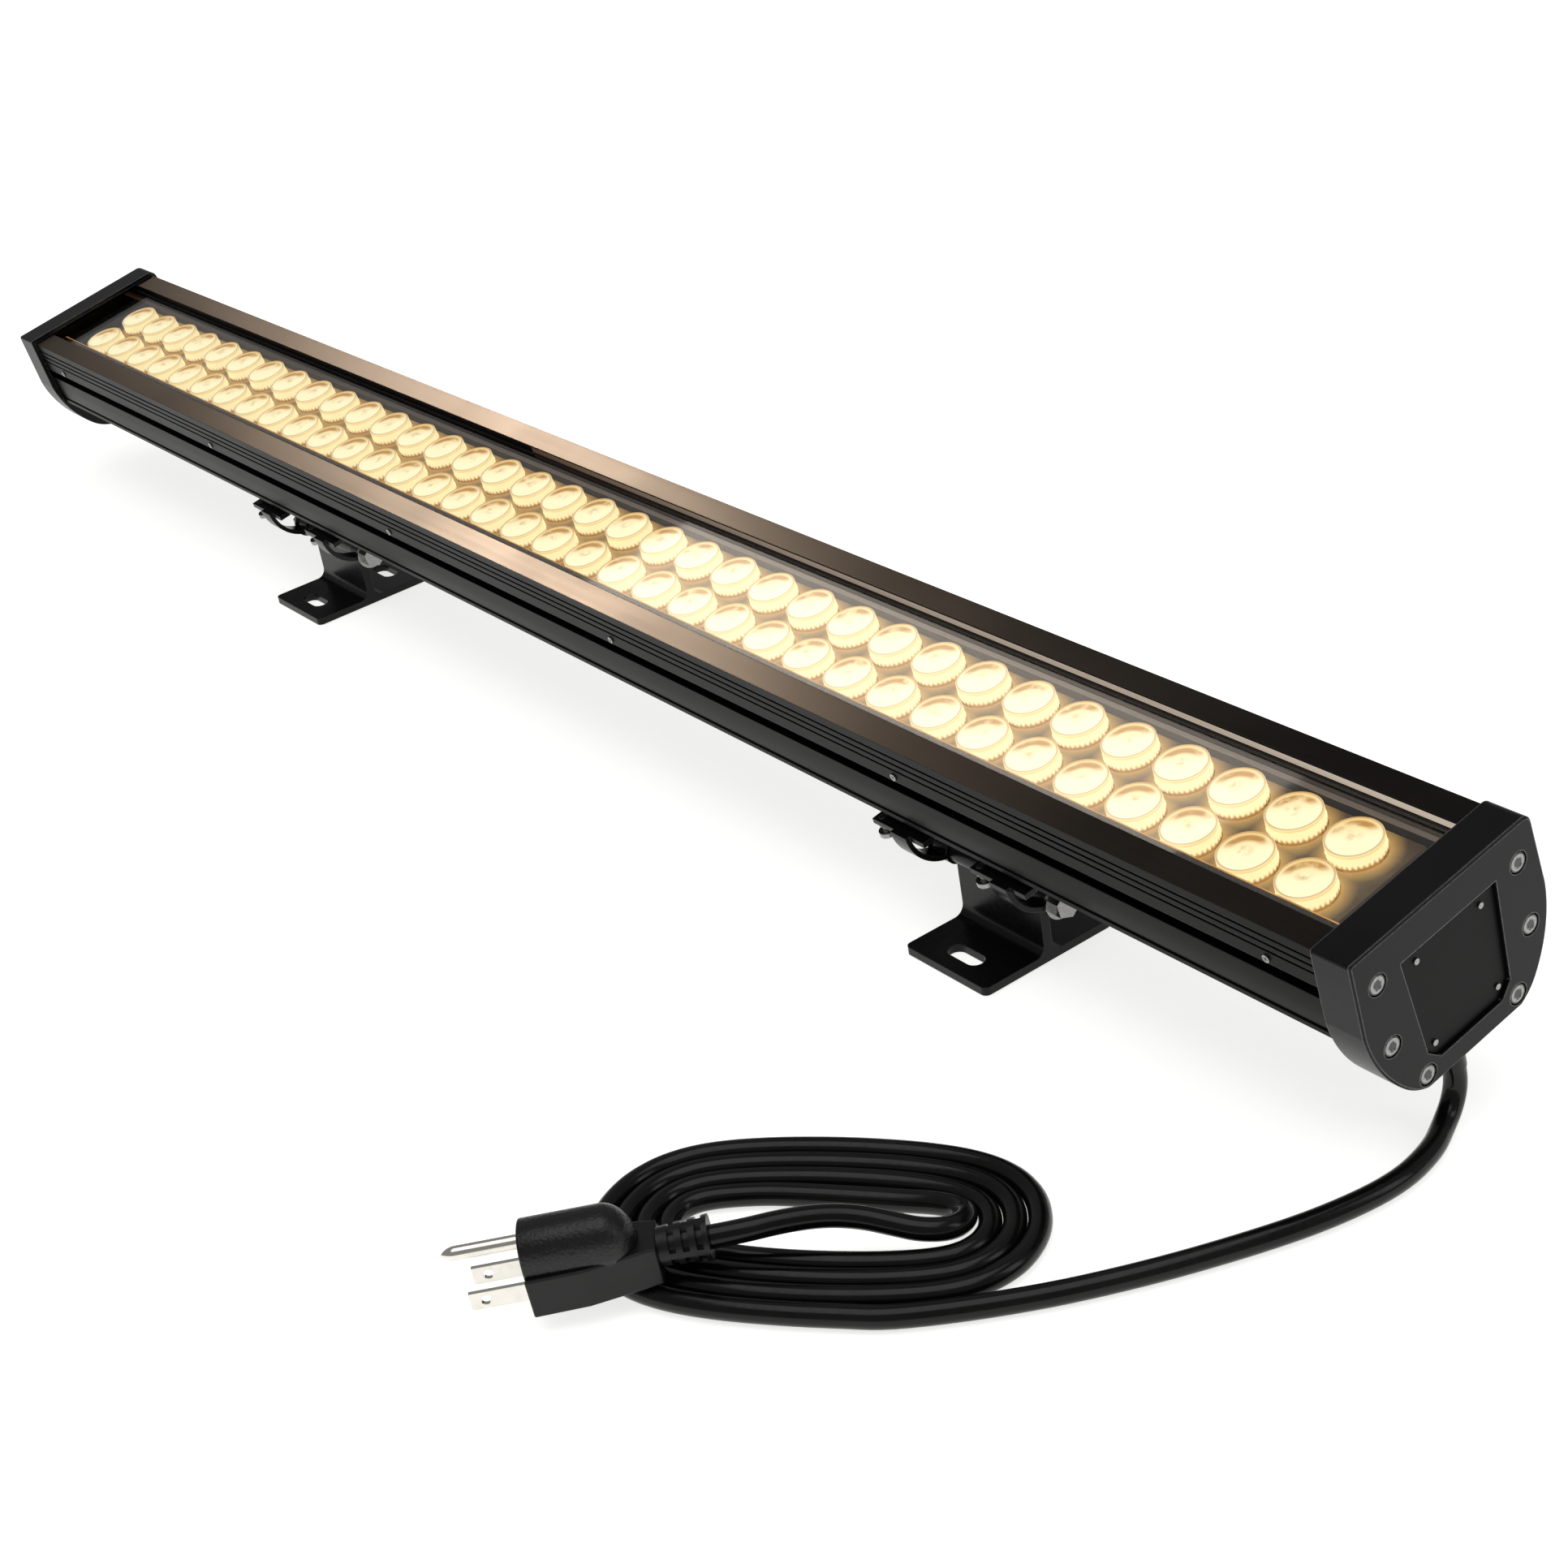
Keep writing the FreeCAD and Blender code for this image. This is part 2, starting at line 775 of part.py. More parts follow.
def lens_plate():
    """The reflecting plate that holds the lenses by their cones."""
    body = new_body("LensPlate")
    sketch = new_sketch(body, "XY_Plane", -(plate_top + size("LensPlateThick")))
    half = size("ChamberHalfWidth") - size("LensPlateEdgeGap")
    draw_outline(sketch, box_corners(-board_end, board_end, -half, half))
    pad(body, sketch, size("LensPlateThick"))
    holes = new_sketch(body, "XY_Plane", -(plate_top + size("LensPlateThick")))
    for side in (-1, 1):
        draw_circle(holes, first_lens, size("RowOffset") * side, size("LensRadius") + size("LensHoleGap"))
    hole = pocket(body, holes, size("LensPlateThick"))
    repeat_along_x(body, hole, size("LensPitch"), lenses_in_row)
    keep(body, "lens_plate", LAMP)


def led_board():
    body = new_body("LedBoard")
    sketch = new_sketch(body, "XY_Plane", -size("ChamberFloor"))
    half = size("BoardHalfWidth")
    draw_outline(sketch, box_corners(-board_end, board_end, -half, half))
    pad(body, sketch, size("BoardThick"))
    keep(body, "led_board", LAMP)


def led_chips():
    body = new_body("LedChips")
    sketch = new_sketch(body, "XY_Plane", -board_top, first_lens)
    half = size("ChipSide") / 2
    for side in (-1, 1):
        y = size("RowOffset") * side
        draw_outline(sketch, box_corners(-half, half, y - half, y + half))
    chip = pad(body, sketch, size("ChipHeight"))
    repeat_along_x(body, chip, size("LensPitch"), lenses_in_row)
    keep(body, "led_chips", LAMP)


def side_screws():
    """Small screws in the plain band of the front side."""
    body = new_body("SideScrews")
    last = bar_half - size("SideScrewEndGap")
    pitch = last * 2 / (size("SideScrewCount") - 1)
    sketch = new_sketch(body, "XZ_Plane", size("BarHalfWidth"), -last)
    draw_circle(sketch, 0, -size("SideScrewDrop"), size("SideScrewRadius"))
    head = pad(body, sketch, size("SideScrewHeight"))
    repeat_along_x(body, head, pitch, size("SideScrewCount"))
    keep(body, "side_screws", LAMP)


# ---------------------------------------------------------------- end caps


def cap_outline():
    """The cap seen along the bar, from the middle of its base round by the back."""
    top, back, front = cap_top_half, size("CapBackRound"), size("CapFrontRound")
    waist, waist_z = top + size("CapWaistFlare"), cap_base + size("CapWaistRise")
    hip, hip_z = waist - size("CapHipTuck"), cap_base + size("CapHipRise")
    base = hip - size("CapBaseTuck")
    return [
        (base, cap_base),
        (hip, hip_z, size("CapHeelRadius")),
        (waist, waist_z, size("CapHipRadius")),
        (top, -back),
        (top - back, 0, back),
        (front - top, 0),
        (-top, -front, front),
        (-waist, waist_z),
        (-hip, hip_z, size("CapHipRadius")),
        (-base, cap_base, size("CapHeelRadius")),
    ]


def socket_outline(gap):
    """The bar's outer shape, grown by gap."""
    half = size("BarHalfWidth") + gap
    toe = size("BarHalfWidth") - size("FootChamfer") + gap
    heel, foot = -size("LipBottom") - gap, -size("BarBottom") - gap
    top = gap - size("BarTop")
    return [(-toe, foot), (toe, foot), (half, heel), (half, top), (-half, top), (-half, heel)]


def panel_outline(gap):
    """The recessed panel on the cap's end, less gap all round."""
    top, base = size("PanelTopHalf") - gap, size("PanelBaseHalf") - gap
    corner = size("PanelCorner")
    upper, lower = -size("PanelTopDrop") - gap, cap_base + size("PanelBaseRise") + gap
    return [
        (corner - base, lower),
        (base - corner, lower),
        (base, lower + corner),
        (top, upper),
        (-top, upper),
        (-base, lower + corner),
    ]


def cap_screw_points():
    """Centres of a cap's screws: the first four reach into the bar, the last two its base."""
    half, low, low_z = size("CapScrewHalf"), size("CapScrewLowHalf"), cap_base + size("CapScrewLowRise")
    upper = [(half * side, -size(drop)) for drop in ("CapScrewTopDrop", "CapScrewMidDrop")
             for side in (-1, 1)]
    return upper + [(low * side, low_z) for side in (-1, 1)]


def end_cap(label, side):
    """A cast cup over the bar's end; side is 1 at the lead's end and -1 at the other."""
    body = new_body(label.title().replace("_", ""))
    start = cap_inner if side > 0 else -cap_face
    outer = new_sketch(body, "YZ_Plane", start)
    draw_outline(outer, cap_outline())
    shell = pad(body, outer, size("CapLength"))
    at_face = edges_of(shell, lambda e: abs(e.BoundBox.XMin - side * cap_face.number) < 1e-6
                       and e.BoundBox.XLength < 1e-6)
    dress(body, "Chamfer", shell, at_face, "Size", size("CapBevel"))
    socket = new_sketch(body, "YZ_Plane", cap_inner * side)
    draw_outline(socket, socket_outline(size("CapFit")))
    pocket(body, socket, size("CapLength") - size("CapEndWall"), side > 0)
    panel = new_sketch(body, "YZ_Plane", cap_face * side)
    draw_outline(panel, panel_outline(as_size(0)))
    pocket(body, panel, size("PanelRecess") + size("PanelPlateThick"), side < 0)
    sinks = new_sketch(body, "YZ_Plane", cap_face * side)
    holes = new_sketch(body, "YZ_Plane", cap_face * side)
    for y, z in cap_screw_points():
        draw_circle(sinks, y, z, size("CapScrewSinkRadius"))
        draw_circle(holes, y, z, size("CapScrewRadius") + size("ScrewClearance"))
    pocket(body, sinks, size("CapScrewSinkDepth"), side < 0)
    pocket(body, holes, size("CapScrewSinkDepth") + size("CapScrewLength"), side < 0)
    if side > 0:
        way = new_sketch(body, "XY_Plane", cap_base)
        draw_circle(way, exit_x, size("CordExitY"), size("GlandRadius") + size("GlandBoreGap"))
        pocket(body, way, bar_base - cap_base)
    keep(body, label, LAMP)


def end_gasket(label, side):
    """A black ring between the bar's end and the cap."""
    body = new_body(label.title().replace("_", ""))
    sketch = new_sketch(body, "YZ_Plane", bar_half if side > 0 else -socket_floor)
    draw_outline(sketch, socket_outline(as_size(0)))
    half, foot = size("ChamberHalfWidth"), -size("WireDuctBottom")
    draw_outline(sketch, box_corners(-half, half, foot, -size("GlassTop")))
    for y, z in cap_screw_points()[:4]:
        draw_circle(sketch, y, z, size("CapScrewRadius") + size("ScrewClearance"))
    pad(body, sketch, size("GasketThick"))
    keep(body, label, LAMP)


def cap_screws(label, side):
    head = size("CapScrewHeadHeight")
    floor = cap_face - size("CapScrewSinkDepth")
    end = floor - size("CapScrewLength") + size("CapScrewTipGap")
    pieces = []
    for y, z in cap_screw_points():
        shank = rod(end if side > 0 else -floor, y, z, ALONG_X, size("CapScrewRadius"), floor - end)
        top = rod(floor if side > 0 else -(floor + head), y, z, ALONG_X, size("CapScrewHeadRadius"), head)
        pieces.append(fuse(shank, top))
    keep(group(*pieces), label, LAMP)


def blank_plate(label, side):
    body = new_body(label.title().replace("_", ""))
    back = cap_face - size("PanelRecess") - size("PanelPlateThick")
    front = cap_face - size("PanelRecess")
    sketch = new_sketch(body, "YZ_Plane", back if side > 0 else -front)
    draw_outline(sketch, panel_outline(size("PanelPlateGap")))
    pad(body, sketch, size("PanelPlateThick"))
    keep(body, label, LAMP)


def plate_rivets(label, side):
    front = cap_face - size("PanelRecess")
    height = size("RivetHeight")
    pieces = []
    start = front if side > 0 else -(front + height)
    for z in (-size("RivetTopDrop"), cap_base + size("RivetBaseRise")):
        for half in (-size("RivetHalf"), size("RivetHalf")):
            pieces.append(rod(start, half, z, ALONG_X, size("RivetRadius"), height))
    keep(group(*pieces), label, LAMP)


# ---------------------------------------------------------------- wiring inside the bar


def driver_board():
    body = new_body("DriverBoard")
    sketch = new_sketch(body, "XY_Plane", -size("WireDuctBottom"))
    half = size("DriverHalfWidth")
    draw_outline(sketch, box_corners(driver_start, driver_end, -half, half))
    pad(body, sketch, size("BoardThick"))
    keep(body, "driver_board", LAMP)


def on_driver_board(name, start):
    """A block on the driver board: its length, its reach to the front and back, its height."""
    top = size("BoardThick") - size("WireDuctBottom")
    return block(start, start + size(f"{name}Length"), -size(f"{name}Front"), size(f"{name}Back"),
                 top, top + size(f"{name}Height"))


def driver_parts():
    """Input part, transformer, rectifier, the connector and two capacitors, on the driver board."""
    pieces = [on_driver_board(name, driver_start + size(f"{name}From"))
              for name in ("Input", "Transformer", "Rectifier")]
    pieces.append(on_driver_board("Connector", driver_end - size("ConnectorLength")))
    start, length, radius = driver_start + size("CapacitorFrom"), size("CapacitorLength"), size("CapacitorRadius")
    axis = size("BoardThick") - size("WireDuctBottom") + radius
    for number in range(2):
        y = size("CapacitorFirst") + size("CapacitorSpacing") * number
        pieces.append(rod(start, y, axis, ALONG_X, radius, length))
    keep(group(*pieces), "driver_parts", LAMP)


def terminal_span():
    """The terminal block's two ends along the bar, over the lead's core."""
    middle = exit_x - size("TerminalBehindExit")
    return middle - size("TerminalLength") / 2, middle + size("TerminalLength") / 2


def terminal_block():
    start, end = terminal_span()
    half, y = size("TerminalHalfWidth"), size("CordExitY")
    top = -size("WireDuctTop")
    body = block(start, end, y - half, y + half, top - size("TerminalHeight"), top)
    keep(group(body), "terminal_block", LAMP)


def terminal_wires():
    end, _ = terminal_span()
    y, z, length = size("CordExitY"), -size("WireDrop"), end - driver_end
    wires = [rod(driver_end, y + size("WireSpacing") * n, z, ALONG_X, size("WireRadius"), length)
             for n in (-1, 0, 1)]
    keep(group(*wires), "terminal_wires", LAMP)


# ---------------------------------------------------------------- the lead's exit


def relief_top():
    return cap_base + size("ReliefInside")


def lead_core():
    """The sheathed core from the gland up to the terminal block."""
    bottom = relief_top()
    top = -size("WireDuctTop") - size("TerminalHeight")
    core = rod(exit_x, size("CordExitY"), bottom, ALONG_Z, size("CoreRadius"), top - bottom)
    keep(group(core), "lead_core", LAMP)


def cord_gland():
    x, y, z = exit_x, size("CordExitY"), relief_top()
    length = bar_base - size("GlandTopGap") - z
    sleeve = rod(x, y, z, ALONG_Z, size("GlandRadius"), length)
    bore = rod(x, y, z, ALONG_Z, size("CoreRadius") + size("CoreFit"), length)
    keep(cut(sleeve, bore), "cord_gland", LAMP)


def cord_relief():
    """The tapered sleeve round the lead where it leaves the cap's base."""
    length = size("ReliefInside") + size("ReliefOutside")
    sleeve = cone(exit_x, size("CordExitY"), relief_top() - length, ALONG_Z,
                  size("ReliefTipRadius"), size("GlandRadius"), length)
    keep(group(sleeve), "cord_relief", LAMP)


# ---------------------------------------------------------------- hinge clips and feet


def clip_starts(foot_x):
    """The left faces of the two clips that stand either side of a foot."""
    gap, width = size("ClipSideGap"), size("ClipWidth")
    return foot_x - gap - width, foot_x + size("FootWidth") + gap


def hinge_clip(start):
    """A hanging half ring with its boss, its plate under the bar, rail key and front tab."""
    width = size("ClipWidth")
    y, ring_z = -size("RailCentre"), -size("ClipRingDrop")
    outer, band = size("ClipRingRadius"), size("ClipBand")
    plate_top_z = -size("BarBottom") - size("RailClearance")
    plate_z = plate_top_z - size("ClipPlateThick")
    inner = rod(start, y, ring_z, ALONG_X, outer - band, width)
    ring = cut(rod(start, y, ring_z, ALONG_X, outer, width), inner)
    half_ring = common(ring, block(start, start + width, y - outer, y + outer, ring_z - outer, plate_z))
    plate = block(start, start + width, y - outer, y + outer, plate_z, plate_top_z)
    boss = rod(start, pivot_y, pivot_z, ALONG_X, size("ClipBossRadius"), width)
    neck = size("RailNeckHalf") - size("RailClearance")
    head = size("RailHeadHalf") - size("RailClearance")
    lip_z = -size("BarBottom") + size("RailLip") + size("RailClearance")
    deep_z = -size("BarBottom") + size("RailDepth") - size("RailClearance")
    stem = block(start, start + width, y - neck, y + neck, plate_top_z, lip_z)
    key = block(start, start + width, y - head, y + head, lip_z, deep_z)
    tab = block(start - size("TabLeft"), start + width + size("TabRight"), -size("TabFront"), -size("TabBack"),
                plate_z, plate_top_z)
    clip = fuse(half_ring, plate, boss, stem, key, tab)
    bore = rod(start, pivot_y, pivot_z, ALONG_X, size("BoltRadius") + size("BoltFit"), width)
    hole = rod(start - size("ThumbFromClip"), -size("ThumbLine"), plate_z, ALONG_Z,
               size("ThumbRadius") + size("ThumbFit"), size("ClipPlateThick"))
    return cut(clip, fuse(bore, hole))


def hinge_clips(label, foot_x):
    keep(group(*[hinge_clip(start) for start in clip_starts(foot_x)]), label, LAMP)


def thumb_screw(start):
    """A clamping screw through the clip's tab, up against the bar."""
    x, y = start - size("ThumbFromClip"), -size("ThumbLine")
    top = -size("BarBottom") - size("RailClearance")
    length, head = size("ThumbLength"), size("ThumbHeadHeight")
    under_tab = top - size("ClipPlateThick")
    shank = rod(x, y, top - length, ALONG_Z, size("ThumbRadius"), length)
    collar_height = size("ThumbCollarHeight")
    collar = rod(x, y, under_tab - collar_height, ALONG_Z, size("ThumbCollarRadius"), collar_height)
    knob = rod(x, y, top - length, ALONG_Z, size("ThumbHeadRadius"), head)
    return fuse(shank, collar, knob)


def thumb_screws(label, foot_x):
    keep(group(*[thumb_screw(start) for start in clip_starts(foot_x)]), label, LAMP)


def bolt_span(foot_x):
    """Where the hinge bolt's nut washer and head washer stand: the clips' outer faces."""
    first, second = clip_starts(foot_x)
    return first, second + size("ClipWidth")


def pivot_bolt(label, foot_x):
    left, right = bolt_span(foot_x)
    thick = size("WasherThick")
    end = left - thick - size("NutHeight") - size("BoltEnd")
    seat = right + thick
    shank = rod(end, pivot_y, pivot_z, ALONG_X, size("BoltRadius"), seat - end)
    head = hexagon(seat, pivot_y, pivot_z, ALONG_X, size("BoltHeadFlats"), size("BoltHeadHeight"))
    keep(fuse(shank, head), label, LAMP)


def washer(start):
    ring = rod(start, pivot_y, pivot_z, ALONG_X, size("WasherRadius"), size("WasherThick"))
    bore = rod(start, pivot_y, pivot_z, ALONG_X, size("BoltRadius") + size("WasherFit"), size("WasherThick"))
    return cut(ring, bore)


def pivot_washers(label, foot_x):
    left, right = bolt_span(foot_x)
    keep(group(washer(left - size("WasherThick")), washer(right)), label, LAMP)


def pivot_nut(label, foot_x):
    left, _ = bolt_span(foot_x)
    start = left - size("WasherThick") - size("NutHeight")
    body = hexagon(start, pivot_y, pivot_z, ALONG_X, size("BoltHeadFlats"), size("NutHeight"))
    bore = rod(start, pivot_y, pivot_z, ALONG_X, size("BoltRadius") + size("BoltFit"), size("NutHeight"))
    keep(cut(body, bore), label, LAMP)


def foot(label, foot_x):
    """A base plate with two slots, an upright and the barrel that turns on the bolt."""
    body = new_body(label.title().replace("_", ""))
    depth, thick, fillet = size("FootHalfDepth"), size("FootThick"), size("UprightFillet")
    web, barrel, axis = size("UprightThick") / 2, size("BarrelRadius"), size("HingeZ")
    shoulder = axis - (barrel * barrel - web * web).root()
    section = new_sketch(body, "YZ_Plane")
    draw_outline(section, [
        (-depth, 0),
        (depth, 0),
        (depth, thick),
        (web + fillet, thick),
        (web, thick + fillet, -fillet),
        (web, shoulder),
        (0, axis + barrel, barrel),
        (-web, shoulder, barrel),
        (-web, thick + fillet),
        (-web - fillet, thick, -fillet),
        (-depth, thick),
    ])
    draw_circle(section, 0, axis, size("BoltRadius") + size("BoltRunGap"))
    shape = pad(body, section, size("FootWidth"))
    corners = edges_of(shape, lambda e: e.BoundBox.XLength < 1e-6 and e.BoundBox.YLength < 1e-6
                       and abs(abs(e.BoundBox.YMin) - depth.number) < 1e-6)
    dress(body, "Fillet", shape, corners, "Radius", size("FootCorner"))
    slots = new_sketch(body, "XY_Plane")
    middle = size("FootWidth") / 2
    for side in (-1, 1):
        draw_slot(slots, middle, size("SlotOffset") * side, size("SlotLength"), size("SlotWidth"))
    pocket(body, slots, thick)
    keep(body, label, Placement(Vector(foot_x.number, size("HingeY").number, 0), Rotation()))


# ---------------------------------------------------------------- the lead's free stretches

LEAD_FLOOR_POINTS = [
    # from the bend at the floor round to the coil, hand placed; x, y, z
    (492.0, 6.4, 8.5),
    (494.2, -0.8, 4.0),
    (500.3, -13.0, 4.0),
    (503.6, -33.0, 4.0),
    (498.6, -60.0, 4.0),
    (489.2, -86.5, 4.0),
    (476.4, -115.8, 3.9),
    (459.3, -147.5, 3.9),
]

TAIL_POINTS = [
    # from the coil over its loops to the plug; along and across the coil, height
    (5.0, -11.6, 16.9),
    (-7.0, -17.2, 18.5),
]


def coil_point(along, across, height):
    """A point of the coil's own frame in the row frame."""
    turn = Rotation(Vector(0, 0, 1), size("CoilHeading").number)
    return Vector(size("CoilX").number, size("CoilY").number, 0) + turn.multVec(Vector(along, across, height))


def unit(vector):
    return Vector(vector).normalize()


def arc_through(start, apex, end):
    """The arc tangent to start-apex and apex-end, two equal lengths, as an edge."""
    turn = unit(apex - start).getAngle(unit(end - apex))
    middle = apex + ((start + end) / 2 - apex) / (1 + math.cos(turn / 2))
    return Part.Arc(start, middle, end).toShape()


def run_and_arc_path(name, points):
    """Straight runs joined by the largest arcs that the shorter run beside each allows."""
    edges = []
    radii = []
    here = points[0]
    for before, point, after in zip(points, points[1:], points[2:]):
        shorter = min((point - before).Length, (after - point).Length)
        turn = (point - before).getAngle(after - point)
        reach = 0.45 * shorter
        radii.append(reach / math.tan(turn / 2))
        first = point + unit(before - point) * reach
        last = point + unit(after - point) * reach
        edges.append(Part.LineSegment(here, first).toShape())
        edges.append(arc_through(first, point, last))
        here = last
    edges.append(Part.LineSegment(here, points[-1]).toShape())
    print(name, "radii:", " ".join(f"{radius:.0f}" for radius in radii))
    return edges


def tube(label, edges):
    """A round tube of the cord's radius along a path; its volume is proved."""
    path = Part.Wire(edges)
    radius = size("CordRadius").number
    start = edges[0].firstVertex().Point
    away = edges[0].tangentAt(edges[0].FirstParameter)
    section = Part.Wire(Part.Circle(start, away, radius).toShape())
    shell = Part.BRepOffsetAPI.MakePipeShell(path)
    shell.add(section)
    shell.build()
    shell.makeSolid()
    solid = shell.shape()
    expected = math.pi * radius * radius * path.Length
    print(f"{label}: length {path.Length:.1f} volume ratio {solid.Volume / expected:.5f}")
    if abs(solid.Volume / expected - 1) > 0.002:
        raise RuntimeError(f"{label} has the wrong volume")
    obj = doc.addObject("Part::Feature", "Tube")
    obj.Shape = solid
    return keep(obj, label)


def exit_point(beyond=0.0):
    """The end of the lead's strain relief, or a point so far beyond it, in the row frame."""
    drop = size("CapDepth").number + size("ReliefOutside").number + beyond
    return LAMP.multVec(Vector(exit_x.number, size("CordExitY").number, -drop))


def cord_lead():
    points = [exit_point(), exit_point(size("LeadStraight").number)]
    points += [Vector(*p) for p in LEAD_FLOOR_POINTS]
    points += [coil_start(size("LeadJoins").number), coil_start()]
    tube("cord_lead", run_and_arc_path("cord_lead", points))


def cord_tail():
    straight = size("TailStraight").number
    points = [coil_end(), coil_end(straight)] + [coil_point(*p) for p in TAIL_POINTS]
    points += [plug_placement().multVec(Vector(-straight, 0, 0)), plug_end()]
    tube("cord_tail", run_and_arc_path("cord_tail", points))


# ---------------------------------------------------------------- the coil


def biarc(start, heading, end, last_heading, first_reach=None, last_reach=None):
    """Two tangent arcs from start to end; one reach along its heading is given."""
    way = end - start
    spread = 1 - heading.dot(last_heading)
    if first_reach is None:
        first_reach = (way.dot(way) / 2 - last_reach * way.dot(last_heading)) / (
            way.dot(heading) + last_reach * spread)
    else:
        last_reach = (way.dot(way) / 2 - first_reach * way.dot(heading)) / (
            way.dot(last_heading) + first_reach * spread)
    first_apex = start + heading * first_reach
    last_apex = end - last_heading * last_reach
    joint = first_apex + (last_apex - first_apex) * (first_reach / (first_reach + last_reach))
    return [arc_through(start, first_apex, joint), arc_through(joint, last_apex, end)]


def end_reach(half_length, half_width, radius):
    """The reach of an oval's end arc, from the oval's two halves and that arc's radius."""
    excess = half_length ** 2 + half_width ** 2 - 2 * half_length * radius
    side_radius = excess / (2 * (half_width - radius))
    sweep = math.atan2(side_radius - half_width, half_length - radius)
    return radius * math.tan(sweep / 2)


def spiral_station(quarter):
    """Centre line and heading after so many quarter turns, in the coil's frame."""
    shrink = size("CoilPitch").number * quarter / 4
    length = size("CoilHalfLength").number - shrink
    width = size("CoilHalfWidth").number - shrink
    angle = -math.pi / 2 * quarter
    place = Vector(length * math.sin(angle), -width * math.cos(angle), size("CordRadius").number)
    return place, Vector(-math.cos(angle), -math.sin(angle), 0), length, width


def spiral_edges():
    """Quarter turns of an oval that shrinks steadily, each a biarc."""
    edges = []
    for quarter in range(int(size("CoilLoops").number * 4)):
        start, heading, length, width = spiral_station(quarter)
        end, last_heading, _, _ = spiral_station(quarter + 1)
        radius = width - size("CoilFlatness").number - size("CoilPitch").number / 8
        reach = end_reach(length, width, radius)
        if quarter % 2 == 0:
            edges += biarc(start, heading, end, last_heading, last_reach=reach)
        else:
            edges += biarc(start, heading, end, last_heading, first_reach=reach)
    return edges


def return_stations():
    """The last half turn, which climbs a layer as it comes back over the loops."""
    start, heading, _, _ = spiral_station(int(size("CoilLoops").number * 4))
    radius, climb = size("CoilReturnRadius").number, size("CoilReturnClimb").number
    along = size("CoilReturnAlong").number
    bend_climb = size("CoilReturnBendShare").number * climb
    bend = Vector(along, start.y - radius - size("CoilReturnLean").number, start.z + bend_climb)
    back = Vector(along - radius, bend.y - radius, start.z + climb)
    steep = math.radians(size("CoilBendSlope").number)
    return start, heading, bend, Vector(0, -math.cos(steep), math.sin(steep)), back, back_heading()


def back_heading():
    """The way the cord leaves its coil, rising."""
    rise = math.radians(size("CoilLeaveSlope").number)
    return Vector(-math.cos(rise), 0, math.sin(rise))


def coil_line():
    """The whole coil's centre line in its own frame, with a straight diameter at each end."""
    straight = 2 * size("CordRadius").number
    first, heading, _, _ = spiral_station(0)
    start, start_heading, bend, bend_heading, back, leave = return_stations()
    radius = size("CoilReturnRadius").number
    edges = [Part.LineSegment(first - heading * straight, first).toShape()]
    edges += spiral_edges()
    edges += biarc(start, start_heading, bend, bend_heading, last_reach=radius * 0.9)
    edges += biarc(bend, bend_heading, back, leave, first_reach=radius * 0.45)
    edges.append(Part.LineSegment(back, back + leave * straight).toShape())
    return edges


def coil_start(before=0.0):
    """Where the coil takes over from the lead, or a point so far before it."""
    first, heading, _, _ = spiral_station(0)
    return coil_point(*(first - heading * (2 * size("CordRadius").number + before)))


def coil_end(beyond=0.0):
    """Where the coil hands over to the tail, or a point so far beyond it."""
    back, leave = return_stations()[4:]
    return coil_point(*(back + leave * (2 * size("CordRadius").number + beyond)))


def least_gap(edges):
    """The coil's least gap to itself, on points one radius apart along the cord."""
    diameter = 2 * size("CordRadius").number
    step = diameter / 2
    points = Part.Wire(edges).discretize(Distance=step)
    apart = int(math.pi * diameter / step)
    return min(points[i].distanceToPoint(points[j])
               for i in range(len(points)) for j in range(i + apart, len(points))) - diameter


def cord_coil():
    turn = Placement(Vector(size("CoilX").number, size("CoilY").number, 0),
                     Rotation(Vector(0, 0, 1), size("CoilHeading").number))
    edges = coil_line()
    radii = [edge.Curve.Radius for edge in edges if hasattr(edge.Curve, "Radius")]
    gap = least_gap(edges)
    print(f"cord_coil: least gap to itself {gap:.2f}, tightest radius {min(radii):.1f}")
    if gap < 0.4:
        raise RuntimeError("the coil touches itself")
    tube("cord_coil", [moved(edge, turn) for edge in edges])


def moved(shape, place):
    copy = shape.copy()
    copy.Placement = place.multiply(copy.Placement)
    return copy


# ---------------------------------------------------------------- the plug


def plug_placement():
    """The plug's frame: x from the end of its strain relief to the prongs, z up."""
    heading = Rotation(Vector(0, 0, 1), size("PlugHeading").number)
    pitch = Rotation(Vector(0, 1, 0), size("PlugPitch").number)
    return Placement(plug_end(), heading.multiply(pitch))


def plug_end():
    return Vector(*[size(name).number for name in ("PlugEndX", "PlugEndY", "PlugEndZ")])


plug_face = size("PlugReliefLength") + size("PlugBodyLength")


def plug_relief():
    """A flared sleeve with ring windows between lengthwise ribs."""
    length, core = size("PlugReliefLength"), size("PlugReliefCore")
    tip, rib = size("PlugReliefTip"), size("PlugReliefRib")
    sleeve = cone(0, 0, 0, ALONG_X, tip, size("PlugReliefRoot"), length)
    windows = []
    for number in range(3):
        start = rib * (2 * number + 1) - size("PlugReliefLead")
        ring = cut(rod(start, 0, 0, ALONG_X, tip + size("Overcut"), rib), rod(start, 0, 0, ALONG_X, core, rib))
        windows.append(ring)
    bars = fuse(block(0, length, -rib / 2, rib / 2, -tip, tip), block(0, length, -tip, tip, -rib / 2, rib / 2))
    keep(cut(sleeve, cut(fuse(*windows), bars)), "plug_relief", plug_placement())


